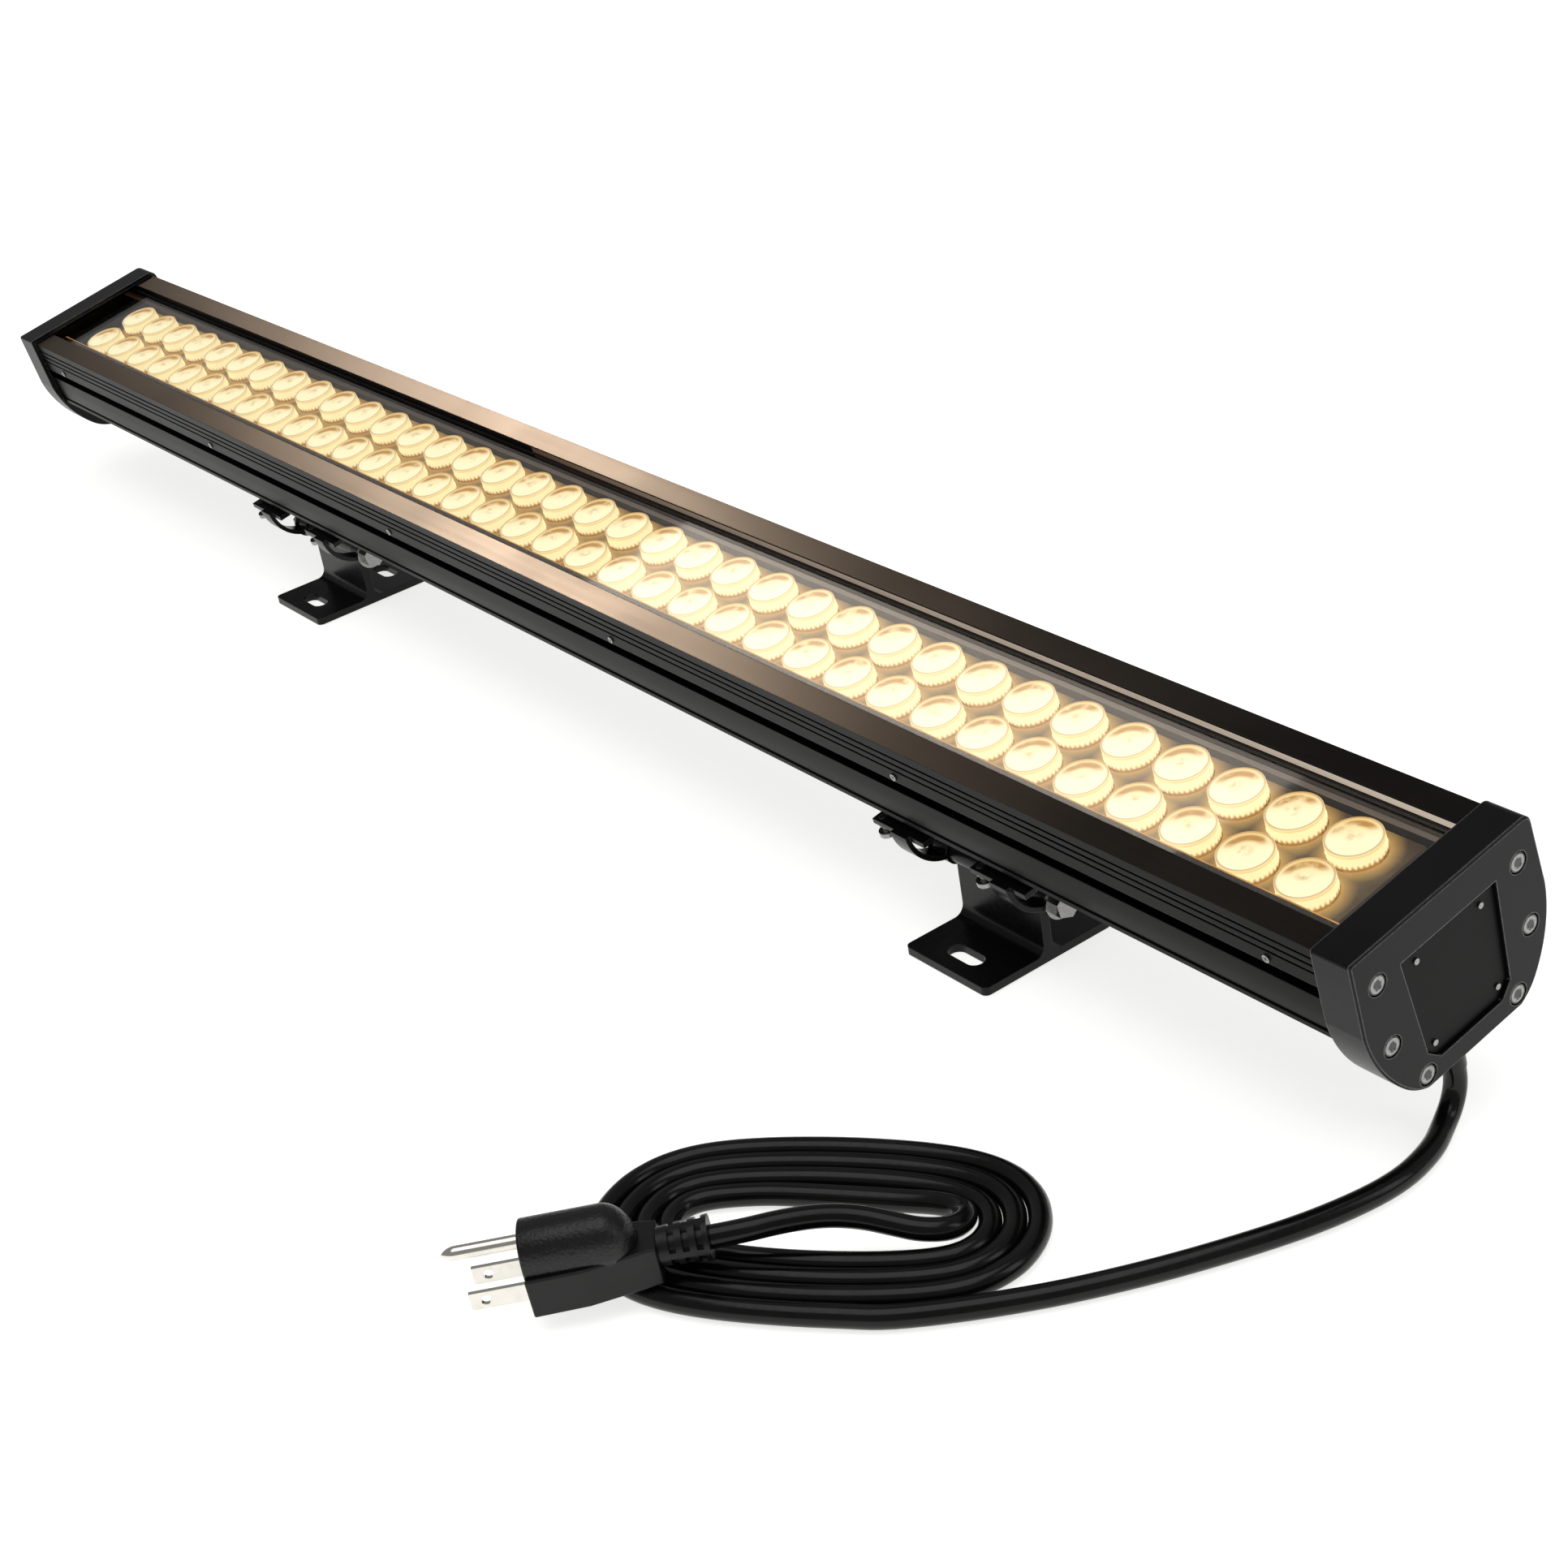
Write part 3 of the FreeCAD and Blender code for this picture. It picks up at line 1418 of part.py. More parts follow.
def grip_section():
    """The grip's section: a rounded top and two flutes along each side."""
    half, top, flat = size("GripHalf"), size("GripTop"), size("GripFlat")
    flute, base = size("GripFlute"), size("PlugShelf") - size("GripSink")
    side = [(half, base)]
    for number in range(2):
        low = size("PlugShelf") + size("GripFluteStart") + size("GripFlutePitch") * number
        side += [(half, low), (half, low + size("GripFluteHeight"), -flute)]
    side += [(flat, top, size("GripRound"))]
    return side + mirrored(side)


def plug_body():
    body = new_body("PlugBody")
    below, tail = -size("PlugBelow"), size("PlugReliefLength")
    face_half, break_half, tail_half = size("PlugFaceHalf"), size("PlugBreakHalf"), size("PlugTailHalf")
    bend = plug_face - size("PlugBreakLength")
    plan = new_sketch(body, "XY_Plane", below)
    draw_outline(plan, [
        (tail, -tail_half),
        (bend, -break_half),
        (plug_face, -face_half),
        (plug_face, face_half),
        (bend, break_half),
        (tail, tail_half),
    ])
    pad(body, plan, size("PlugShelf") - below)
    section = new_sketch(body, "YZ_Plane", plug_face - size("GripLength"))
    draw_outline(section, grip_section())
    pad(body, section, size("GripLength"))
    rear, top, round_off = plug_face - size("GripLength"), size("GripTop"), size("GripEndRound")
    beyond = size("Overcut")
    heel = new_sketch(body, "XZ_Plane", -(face_half + beyond))
    draw_outline(heel, [
        (rear - beyond, top - round_off),
        (rear, top - round_off),
        (rear + round_off, top, -round_off),
        (rear + round_off, top + beyond),
        (rear - beyond, top + beyond),
    ])
    pocket(body, heel, (face_half + beyond) * 2)
    keep(body, "plug_body", plug_placement())


def plug_blades():
    half = size("BladeHeight") / 2
    middle = -size("BladeDrop")
    blades = []
    for side in (-1, 1):
        y = size("BladeSpacing") / 2 * side - size("BladeThick") / 2
        tip = plug_face + size("BladeLength")
        blade = block(plug_face, tip, y, y + size("BladeThick"), middle - half, middle + half)
        hole = rod(tip - size("BladeHoleFromTip"), y - size("Overcut"), middle, ALONG_Y,
                   size("BladeHoleRadius"), size("BladeThick") + size("Overcut") * 2)
        blades.append(cut(blade, hole))
    keep(group(*blades), "plug_blades", plug_placement())


def plug_ground_pin():
    """A round pin with a turned, domed tip."""
    body = new_body("PlugGroundPin")
    radius = size("GroundRadius")
    sketch = new_sketch(body, "XZ_Plane")
    rise, tip = size("GroundRise"), plug_face + size("GroundLength")
    draw_outline(sketch, [
        (plug_face, rise),
        (tip, rise),
        (tip - size("GroundDomeLength"), rise + radius, size("GroundDomeRadius")),
        (plug_face, rise + radius),
    ])
    turned = body.newObject("PartDesign::Revolution", "PinTurned")
    turned.Profile = sketch
    turned.ReferenceAxis = (sketch, ["Edge2"])
    turned.Angle = 360
    body.Tip = turned
    doc.recompute()
    keep(body, "plug_ground_pin", plug_placement())


# ---------------------------------------------------------------- build and write


def build():
    housing_profile()
    glass_cover()
    glass_seal()
    lens_row("lenses_front", -size("RowOffset"))
    lens_row("lenses_back", size("RowOffset"))
    lens_plate()
    led_board()
    led_chips()
    side_screws()
    for side, name in ((1, "right"), (-1, "left")):
        end_cap(f"end_cap_{name}", side)
        end_gasket(f"end_gasket_{name}", side)
        cap_screws(f"cap_screws_{name}", side)
        blank_plate(f"blank_plate_{name}", side)
        plate_rivets(f"plate_rivets_{name}", side)
    driver_board()
    driver_parts()
    terminal_block()
    terminal_wires()
    lead_core()
    cord_gland()
    cord_relief()
    for name, foot_x in (("right", size("FootRightX")), ("left", size("FootLeftX"))):
        hinge_clips(f"hinge_clips_{name}", foot_x)
        thumb_screws(f"thumb_screws_{name}", foot_x)
        pivot_bolt(f"pivot_bolt_{name}", foot_x)
        pivot_washers(f"pivot_washers_{name}", foot_x)
        pivot_nut(f"pivot_nut_{name}", foot_x)
        foot(f"foot_{name}", foot_x)
    cord_lead()
    cord_coil()
    cord_tail()
    plug_relief()
    plug_body()
    plug_blades()
    plug_ground_pin()
    doc.recompute()


def write():
    """Stop on any failed object or bad shape, then write one STEP file per sub-part."""
    failed = [o.Name for o in doc.Objects if {"Invalid", "Error"} & set(o.State)]
    bad = [p.Label for p in parts if p.Shape.isNull() or not p.Shape.isValid() or not p.Shape.Solids]
    if failed or bad:
        raise RuntimeError(f"failed {failed}, bad shapes {bad}")
    os.makedirs("parts", exist_ok=True)
    for part in parts:
        part.Shape.exportStep(f"parts/{part.Label}.step")
    held = [part.Shape for part in parts if not part.Label.startswith(("cord", "plug"))]
    print(f"{len(parts)} sub-parts; without the lead: {Part.Compound(held).BoundBox}")


build()
write()
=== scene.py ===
import bpy
import bmesh
import math
from mathutils import Matrix, Vector


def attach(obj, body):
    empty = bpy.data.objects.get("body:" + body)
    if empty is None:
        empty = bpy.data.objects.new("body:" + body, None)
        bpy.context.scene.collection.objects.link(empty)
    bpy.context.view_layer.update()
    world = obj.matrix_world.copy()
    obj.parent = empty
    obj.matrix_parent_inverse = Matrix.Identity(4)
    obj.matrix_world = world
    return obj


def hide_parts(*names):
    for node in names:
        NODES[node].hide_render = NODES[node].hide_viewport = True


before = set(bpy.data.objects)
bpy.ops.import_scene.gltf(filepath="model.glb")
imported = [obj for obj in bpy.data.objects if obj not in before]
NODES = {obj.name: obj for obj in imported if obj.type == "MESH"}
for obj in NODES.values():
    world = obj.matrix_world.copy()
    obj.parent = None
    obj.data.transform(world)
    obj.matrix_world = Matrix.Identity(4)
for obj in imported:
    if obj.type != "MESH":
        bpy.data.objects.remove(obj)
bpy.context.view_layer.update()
MM = 0.001

# The lamp's own frame: x along the bar, y to the back, z up from the caps' tops, in mm.
TILT = math.radians(11.08)
HINGE = Vector((0, -13.67, 30.0))
HINGE_IN_LAMP = Vector((0, -23.0, -62.7))
LAMP = (Matrix.Translation(HINGE * MM) @ Matrix.Rotation(TILT, 4, "X")
        @ Matrix.Translation(-HINGE_IN_LAMP * MM))
LAMP_HALF = 500.0
BAR_TOP = -2.5

# Two rows of lenses stand at y = -ROW and y = ROW.
LENS_PITCH = 25.87
LENSES = 36
FIRST_LENS = -LENS_PITCH * (LENSES - 1) / 2
ROW = 11.47
LENS_RADIUS = 9.9
LENS_TOP = -9.3


# ------------------------------------------------------------------ camera


def make_camera():
    """The photograph's camera, as fitted to the corners of the bar."""
    data = bpy.data.cameras.new("camera")
    data.sensor_width = 36
    data.lens = 63.89
    data.clip_end = 50
    camera = bpy.data.objects.new("camera", data)
    right = Vector((0.59517, 0.78925, -0.15117))
    down = Vector((0.30529, -0.39609, -0.86598))
    view = Vector((-0.74335, 0.46925, -0.47670))
    turn = Matrix((right, -down, -view)).transposed().to_4x4()
    camera.matrix_world = Matrix.Translation(Vector((0.9926, -0.53707, 0.5501))) @ turn
    bpy.context.collection.objects.link(camera)
    bpy.context.scene.camera = camera


make_camera()
bpy.context.scene.view_settings.view_transform = "Standard"


# ------------------------------------------------------------------ shader helpers


class Shader:
    """A node material, built from small sums and textures."""

    def __init__(self, name):
        self.material = bpy.data.materials.new(name)
        self.material.use_nodes = True
        self.tree = self.material.node_tree
        self.bsdf = self.tree.nodes["Principled BSDF"]
        self.place = None

    def node(self, kind, **settings):
        made = self.tree.nodes.new(kind)
        for key, value in settings.items():
            setattr(made, key, value)
        return made

    def feed(self, socket, value):
        if isinstance(value, bpy.types.NodeSocket):
            self.tree.links.new(value, socket)
        else:
            socket.default_value = value

    def math(self, operation, *values):
        made = self.node("ShaderNodeMath", operation=operation)
        for socket, value in zip(made.inputs, values):
            self.feed(socket, value)
        return made.outputs[0]

    def length(self, a, b):
        squares = self.math("MULTIPLY", a, a), self.math("MULTIPLY", b, b)
        return self.math("SQRT", self.math("ADD", *squares))

    def coords(self):
        """Object coordinates in metres: the row frame."""
        if self.place is None:
            self.place = self.node("ShaderNodeTexCoord").outputs["Object"]
        return self.place

    def lamp_coords(self):
        """Coordinates in the lamp's frame, in millimetres."""
        turn = Matrix.Rotation(-TILT, 3, "X")
        mapping = self.node("ShaderNodeMapping", vector_type="POINT")
        self.feed(mapping.inputs["Vector"], self.coords())
        mapping.inputs["Scale"].default_value = (1000, 1000, 1000)
        mapping.inputs["Rotation"].default_value = (-TILT, 0, 0)
        mapping.inputs["Location"].default_value = HINGE_IN_LAMP - turn @ HINGE
        split = self.node("ShaderNodeSeparateXYZ")
        self.feed(split.inputs[0], mapping.outputs[0])
        return split.outputs[0], split.outputs[1], split.outputs[2]

    def noise(self, scale, detail=3.0, stretch=(1, 1, 1)):
        mapping = self.node("ShaderNodeMapping")
        self.feed(mapping.inputs["Vector"], self.coords())
        mapping.inputs["Scale"].default_value = stretch
        made = self.node("ShaderNodeTexNoise")
        self.feed(made.inputs["Vector"], mapping.outputs[0])
        made.inputs["Scale"].default_value = scale
        made.inputs["Detail"].default_value = detail
        return made.outputs["Fac"]

    def ramp(self, value, low, high, out_low=0.0, out_high=1.0):
        """A clamped straight ramp: out_low at low, out_high at high."""
        made = self.node("ShaderNodeMapRange", clamp=True)
        for name, number in (("Value", value), ("From Min", low), ("From Max", high),
                             ("To Min", out_low), ("To Max", out_high)):
            self.feed(made.inputs[name], number)
        return made.outputs[0]

    def mix(self, factor, first, second):
        made = self.node("ShaderNodeMix", data_type="RGBA")
        self.feed(made.inputs[0], factor)
        self.feed(made.inputs[6], first)
        self.feed(made.inputs[7], second)
        return made.outputs[2]

    def rounded(self, radius):
        """The surface's normal, rounded at sharp edges."""
        bevel = self.node("ShaderNodeBevel", samples=4)
        bevel.inputs["Radius"].default_value = radius
        return bevel.outputs[0]

    def bump(self, height, strength, distance, edge=0.0):
        """Raise the surface by a height, in metres. An edge radius also rounds sharp edges."""
        made = self.node("ShaderNodeBump")
        made.inputs["Strength"].default_value = strength
        made.inputs["Distance"].default_value = distance
        self.feed(made.inputs["Height"], height)
        if edge:
            self.feed(made.inputs["Normal"], self.rounded(edge))
        self.feed(self.bsdf.inputs["Normal"], made.outputs[0])

    def edges(self, radius):
        """1 along sharp edges, 0 on faces: where a rounded normal leaves the true one."""
        dot = self.node("ShaderNodeVectorMath", operation="DOT_PRODUCT")
        self.feed(dot.inputs[0], self.rounded(radius))
        self.feed(dot.inputs[1], self.node("ShaderNodeNewGeometry").outputs["True Normal"])
        return self.ramp(dot.outputs["Value"], 0.985, 0.88)

    def set(self, **values):
        """Set or link the surface's sockets. An underscore stands for a space."""
        for name, value in values.items():
            self.feed(self.bsdf.inputs[name.replace("_", " ")], value)


def rgb(r, g, b):
    return (r, g, b, 1.0)


def shade(colour, factor, lift=0.0):
    """A lighter or darker tone of a colour."""
    return rgb(*(c * factor + lift for c in colour[:3]))


def coated_metal(name, colour, rough, grain, stretch, edge, spread, specular, edge_highlight=0.0):
    """Painted or anodised metal: uneven gloss, fine grain, softened edges, and sharp edges painted
    a lighter grey as a painted highlight.
    """
    s = Shader(name)
    patches = s.noise(14, 4)
    fine = s.noise(grain, 5, stretch)
    tone = s.mix(s.ramp(patches, 0.35, 0.7), colour, shade(colour, 1.6, 0.001))
    # Sharp edges painted a lighter grey: a painted highlight where light would catch the edges.
    if edge_highlight:
        painted_edge_highlight = s.math("MULTIPLY", s.edges(edge), s.ramp(fine, 0.25, 0.6, 0.5, 1.0))
        tone = s.mix(painted_edge_highlight, tone, rgb(edge_highlight, edge_highlight, edge_highlight))
    uneven = s.math("ADD", patches, s.math("MULTIPLY", fine, 0.5))
    s.set(Base_Color=tone, Metallic=0.0)
    s.set(Roughness=s.ramp(uneven, 0.5, 1.1, rough - spread, rough + spread))
    s.set(Specular_IOR_Level=specular)
    s.bump(fine, 0.35, 0.00003, edge)
    return s.material


def bare_metal(name, colour, rough, grain=900, dulling=0.72, bump=0.15):
    """Turned or plated metal, dulled in a fine grain."""
    s = Shader(name)
    fine = s.noise(grain, 4)
    s.set(Base_Color=s.mix(s.ramp(fine, 0.3, 0.75), colour, shade(colour, dulling)))
    s.set(Roughness=s.ramp(fine, 0.3, 0.8, rough - 0.06, rough + 0.12))
    s.set(Metallic=1.0)
    s.bump(fine, bump, 0.00002, 0.0002)
    return s.material


def plastic(name, colour, rough, grain, depth, strength=0.4, specular=0.5):
    """Moulded plastic or rubber, with broad patches of a lighter tone."""
    s = Shader(name)
    fine = s.noise(grain, 4)
    broad = s.noise(30, 3)
    s.set(Base_Color=s.mix(s.ramp(broad, 0.35, 0.7), colour, shade(colour, 1.6, 0.003)))
    s.set(Roughness=s.ramp(fine, 0.3, 0.75, rough - 0.07, rough + 0.09))
    s.set(Specular_IOR_Level=specular)
    s.bump(fine, strength, depth)
    return s.material


def lens_polar(s):
    """Where a point is in its lens: across x and y and from its axis in radii, and its height."""
    x, y, z = s.lamp_coords()
    along = s.math("DIVIDE", s.math("SUBTRACT", x, FIRST_LENS - LENS_PITCH / 2), LENS_PITCH)
    index = s.math("MINIMUM", s.math("MAXIMUM", s.math("FLOOR", along), 0.0), LENSES - 1.0)
    within = s.math("SUBTRACT", s.math("SUBTRACT", along, index), 0.5)
    u = s.math("MULTIPLY", within, LENS_PITCH / LENS_RADIUS)
    v = s.math("DIVIDE", s.math("SUBTRACT", s.math("ABSOLUTE", y), ROW), LENS_RADIUS)
    v = s.math("MULTIPLY", v, s.math("SIGN", y))
    return u, v, s.length(u, v), z


def spot(s, u, v, at, size, soft):
    """A soft oval patch, 1 inside and 0 outside."""
    du = s.math("DIVIDE", s.math("SUBTRACT", u, at[0]), size[0])
    dv = s.math("DIVIDE", s.math("SUBTRACT", v, at[1]), size[1])
    return s.ramp(s.length(du, dv), 1.0, 1.0 - soft)


WALL_TEETH = 34.0


def lit_lens(name):
    """Clear moulded collimators, lit from their chips: cream tops, amber rims, marks and walls."""
    s = Shader(name)
    u, v, radius, z = lens_polar(s)
    grain = s.noise(330, 4)
    coarse = s.noise(130, 3)
    top = s.ramp(z, LENS_TOP - 0.25, LENS_TOP - 0.05)
    rim = s.math("MULTIPLY", s.ramp(radius, 0.89, 0.94), s.ramp(radius, 1.02, 0.97))
    back = s.math("ADD", s.math("MULTIPLY", u, -0.61), s.math("MULTIPLY", v, 0.79))
    leaf = s.math("MULTIPLY", s.ramp(radius, 0.44, 0.60), s.ramp(radius, 0.88, 0.76))
    leaf = s.math("MULTIPLY", leaf, s.ramp(back, 0.20, 0.50))
    leaf = s.math("MULTIPLY", leaf, s.ramp(coarse, 0.28, 0.46))
    centre = spot(s, u, v, (-0.05, 0.02), (0.42, 0.34), 0.9)
    centre = s.math("MULTIPLY", centre, s.ramp(grain, 0.44, 0.60))
    marks = s.math("MAXIMUM", leaf, s.math("MULTIPLY", centre, 0.55))
    face = s.mix(s.ramp(back, -0.1, 0.9), rgb(1.0, 0.93, 0.60), rgb(0.86, 0.62, 0.25))
    face = s.mix(marks, face, rgb(0.46, 0.23, 0.045))
    face = s.mix(s.math("MULTIPLY", rim, 0.7), face, rgb(0.40, 0.19, 0.035))
    turns = s.math("MULTIPLY", s.math("ARCTAN2", v, u), WALL_TEETH)
    teeth = s.math("MULTIPLY", s.math("SINE", turns), 0.5)
    ragged = s.math("ADD", z, s.math("MULTIPLY", s.math("ADD", teeth, grain), 1.1))
    lip = s.math("MULTIPLY", s.ramp(z, -10.5, -10.2), s.ramp(z, -9.35, -9.7))
    wall = s.mix(lip, rgb(1.0, 0.86, 0.46), rgb(0.92, 0.66, 0.26))
    wall = s.mix(s.ramp(ragged, -14.4, -12.8), rgb(0.42, 0.20, 0.045), wall)
    lower = s.mix(s.ramp(z, -15.2, -14.4), rgb(0.30, 0.14, 0.03), wall)
    s.set(Base_Color=s.mix(marks, rgb(0.10, 0.07, 0.03), rgb(0.05, 0.03, 0.01)))
    s.set(Emission_Color=s.mix(top, lower, face))
    s.set(Emission_Strength=1.22, Roughness=0.12)
    s.bump(coarse, 0.3, 0.0002)
    return s.material


def plate_with_painted_glow(name):
    """The reflecting plate between the lenses, with the lenses' light painted on as glow: faint
    everywhere, brightest where they stand close.
    """
    s = Shader(name)
    near = s.ramp(lens_polar(s)[2], 1.60, 1.0)
    grain = s.noise(240, 4)
    tone = s.mix(s.ramp(grain, 0.35, 0.7), rgb(0.10, 0.07, 0.045), rgb(0.05, 0.034, 0.02))
    s.set(Base_Color=tone)
    # Painted light: the lenses' glow painted as emission, amber near each lens and faint between
    # them.
    s.set(Emission_Color=s.mix(near, rgb(0.060, 0.040, 0.022), rgb(0.66, 0.39, 0.11)))
    s.set(Emission_Strength=s.ramp(s.math("POWER", near, 1.8), 0.0, 1.0, 0.7, 0.9))
    s.set(Roughness=0.35)
    s.bump(grain, 0.08, 0.00005)
    return s.material


def clear_glass(name):
    """Flat cover glass: it lets the lenses through and mirrors the studio."""
    s = Shader(name)
    smear = s.noise(9, 3)
    s.set(Base_Color=rgb(0.97, 0.95, 0.92), Roughness=s.ramp(smear, 0.4, 0.7, 0.015, 0.05))
    s.set(Transmission_Weight=1.0, IOR=1.48)
    return s.material


def margin_with_painted_sheen(name):
    """The plate's margin behind the back row: dark brown at the left, lighter and glowing to the
    right in a painted sheen.
    """
    s = Shader(name)
    x = s.lamp_coords()[0]
    grain = s.noise(60, 3, (0.3, 1, 1))
    # Painted sheen: the margin lightens and glows towards the right end.
    along = s.math("MULTIPLY", s.ramp(x, -260.0, 160.0), s.ramp(grain, 0.25, 0.7, 0.85, 1.0))
    s.set(Base_Color=s.mix(along, rgb(0.030, 0.018, 0.010), rgb(0.10, 0.08, 0.062)))
    s.set(Emission_Color=s.mix(along, rgb(0.020, 0.010, 0.005), rgb(0.085, 0.064, 0.048)))
    s.set(Emission_Strength=1.0)
    s.set(Roughness=s.ramp(grain, 0.3, 0.7, 0.34, 0.44))
    return s.material


def glow(name, colour, strength):
    """An edge that catches the lenses' light unevenly."""
    s = Shader(name)
    grain = s.noise(40, 2, (3, 1, 1))
    s.set(Base_Color=rgb(0.3, 0.15, 0.05))
    s.set(Emission_Color=s.mix(s.ramp(grain, 0.3, 0.7), colour, shade(colour, 0.6)))
    s.set(Emission_Strength=strength)
    return s.material


def wall_with_painted_glint(name):
    """Bare metal of the flange's inner wall, with a painted glint: dark among the lenses, pale and
    glowing to the right.
    """
    s = Shader(name)
    x = s.lamp_coords()[0]
    grain = s.noise(260, 4, (0.03, 1, 1))
    # Painted glint: the strip turns pale and glows towards the right end.
    along = s.math("MULTIPLY", s.ramp(x, -60.0, 470.0), s.ramp(grain, 0.25, 0.7, 0.8, 1.0))
    s.set(Base_Color=s.mix(along, rgb(0.05, 0.03, 0.02), rgb(0.62, 0.58, 0.52)))
    s.set(Emission_Color=s.mix(along, rgb(0.10, 0.055, 0.03), rgb(0.80, 0.67, 0.54)))
    s.set(Emission_Strength=0.55, Metallic=0.6)
    s.set(Roughness=s.ramp(grain, 0.3, 0.7, 0.30, 0.42))
    s.bump(grain, 0.2, 0.00002)
    return s.material


# ------------------------------------------------------------------ materials of the CAD nodes

# Where an edge grey is given, sharp edges are painted that lighter grey: a painted highlight.
HOUSING = coated_metal("housing_black", rgb(0.0028, 0.0025, 0.0023), 0.34, 260, (0.02, 1, 1),
                       edge=0.0004, spread=0.05, specular=0.06, edge_highlight=0.04)
CAP = coated_metal("cap_black", rgb(0.0035, 0.0035, 0.0037), 0.32, 620, (1, 1, 1),
                   edge=0.0007, spread=0.06, specular=0.16, edge_highlight=0.28)
PLATE = coated_metal("blank_plate_black", rgb(0.002, 0.002, 0.002), 0.42, 520, (1, 1, 1),
                     edge=0.0002, spread=0.05, specular=0.10)
BRACKET = coated_metal("bracket_black", rgb(0.004, 0.004, 0.004), 0.28, 420, (1, 1, 1),
                       edge=0.0005, spread=0.06, specular=0.18, edge_highlight=0.06)
STEEL = bare_metal("screw_steel", rgb(0.34, 0.337, 0.33), 0.22)
NICKEL = bare_metal("prong_nickel", rgb(0.80, 0.77, 0.71), 0.17, 240, dulling=0.90, bump=0.04)
CORD = plastic("cord_black", rgb(0.002, 0.002, 0.0018), 0.19, 380, 0.00002, 0.04, 0.26)
PLUG = plastic("plug_black", rgb(0.003, 0.003, 0.003), 0.36, 700, 0.00002, 0.2, 0.30)
GRIP = plastic("grip_black", rgb(0.003, 0.003, 0.003), 0.33, 950, 0.00022, 0.9, 0.40)
RUBBER = plastic("seal_black", rgb(0.008, 0.007, 0.006), 0.55, 300, 0.00002, 0.15, 0.2)
LENS = lit_lens("lens_lit")
PLATE_GLOW = plate_with_painted_glow("plate_amber")
GLASS = clear_glass("cover_glass")
BOARD = plastic("board_white", rgb(0.60, 0.52, 0.38), 0.45, 500, 0.00005)
CHIP = plastic("chip_yellow", rgb(0.95, 0.72, 0.22), 0.35, 900, 0.00003)
DRIVER = plastic("driver_green", rgb(0.03, 0.16, 0.07), 0.4, 500, 0.00003)
COMPONENT = plastic("component_dark", rgb(0.03, 0.03, 0.035), 0.35, 500, 0.00003)
TERMINAL = plastic("terminal_grey", rgb(0.42, 0.42, 0.40), 0.45, 500, 0.00005)
WIRE = plastic("wire_red", rgb(0.30, 0.03, 0.02), 0.35, 500, 0.00003)
BORDER = plastic("border_black", rgb(0.016, 0.011, 0.007), 0.30, 300, 0.00001, 0.08)

NODE_MATERIALS = {
    "housing_profile": HOUSING, "end_cap": CAP, "end_gasket": RUBBER, "glass_seal": RUBBER,
    "blank_plate": PLATE, "plate_rivets": STEEL, "cap_screws": STEEL, "side_screws": STEEL,
    "thumb_screws": STEEL, "pivot_bolt": STEEL, "pivot_nut": STEEL, "pivot_washers": STEEL,
    "foot_": BRACKET, "hinge_clips": BRACKET, "glass_cover": GLASS, "lenses": LENS,
    "lens_plate": PLATE_GLOW, "led_board": BOARD, "led_chips": CHIP, "driver_board": DRIVER,
    "driver_parts": COMPONENT, "terminal_block": TERMINAL, "terminal_wires": WIRE,
    "cord_": CORD, "lead_core": CORD, "plug_relief": PLUG, "plug_body": PLUG,
    "plug_blades": NICKEL, "plug_ground_pin": NICKEL,
}


def dress_nodes():
    """Give each CAD node the material that its name begins with."""
    for name, obj in NODES.items():
        material = next(m for start, m in NODE_MATERIALS.items() if name.startswith(start))
        obj.data.materials.clear()
        obj.data.materials.append(material)


dress_nodes()


# ------------------------------------------------------------------ mesh helpers


def skin(bm, rings, smooth=False, ends=True):
    """Faces between rings of points that follow each other, and one flat face on each end."""
    for ring, following in zip(rings, rings[1:]):
        for n in range(len(ring)):
            m = (n + 1) % len(ring)
            bm.faces.new((ring[n], ring[m], following[m], following[n])).smooth = smooth
    if ends:
        bm.faces.new(rings[0][::-1])
        bm.faces.new(rings[-1])


def ring_about_x(bm, x, y, z, radius, sides, turn=0.0):
    angles = [turn + 2 * math.pi * n / sides for n in range(sides)]
    return [bm.verts.new((x, y + radius * math.cos(a), z + radius * math.sin(a))) for a in angles]


def outward(bm):
    bmesh.ops.recalc_face_normals(bm, faces=bm.faces)
    return bm


def finish_mesh(name, bm, material, place=LAMP):
    """Turn a mesh drawn in millimetres into an object that rides on the lamp."""
    mesh = bpy.data.meshes.new(name)
    bm.to_mesh(mesh)
    bm.free()
    mesh.transform(place @ Matrix.Scale(MM, 4))
    mesh.materials.append(material)
    obj = bpy.data.objects.new(name, mesh)
    bpy.context.collection.objects.link(obj)
    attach(obj, "lamp")
    return obj


# ------------------------------------------------------------------ the mains lead

COIL = (Matrix.Translation(Vector((383.2, -166.7, 0)))
        @ Matrix.Rotation(math.radians(39.2), 4, "Z"))
CORD_DIAMETER = 7.8
CORD_RADIUS = CORD_DIAMETER / 2
EXIT = (491.0, 8.417, 21.282)

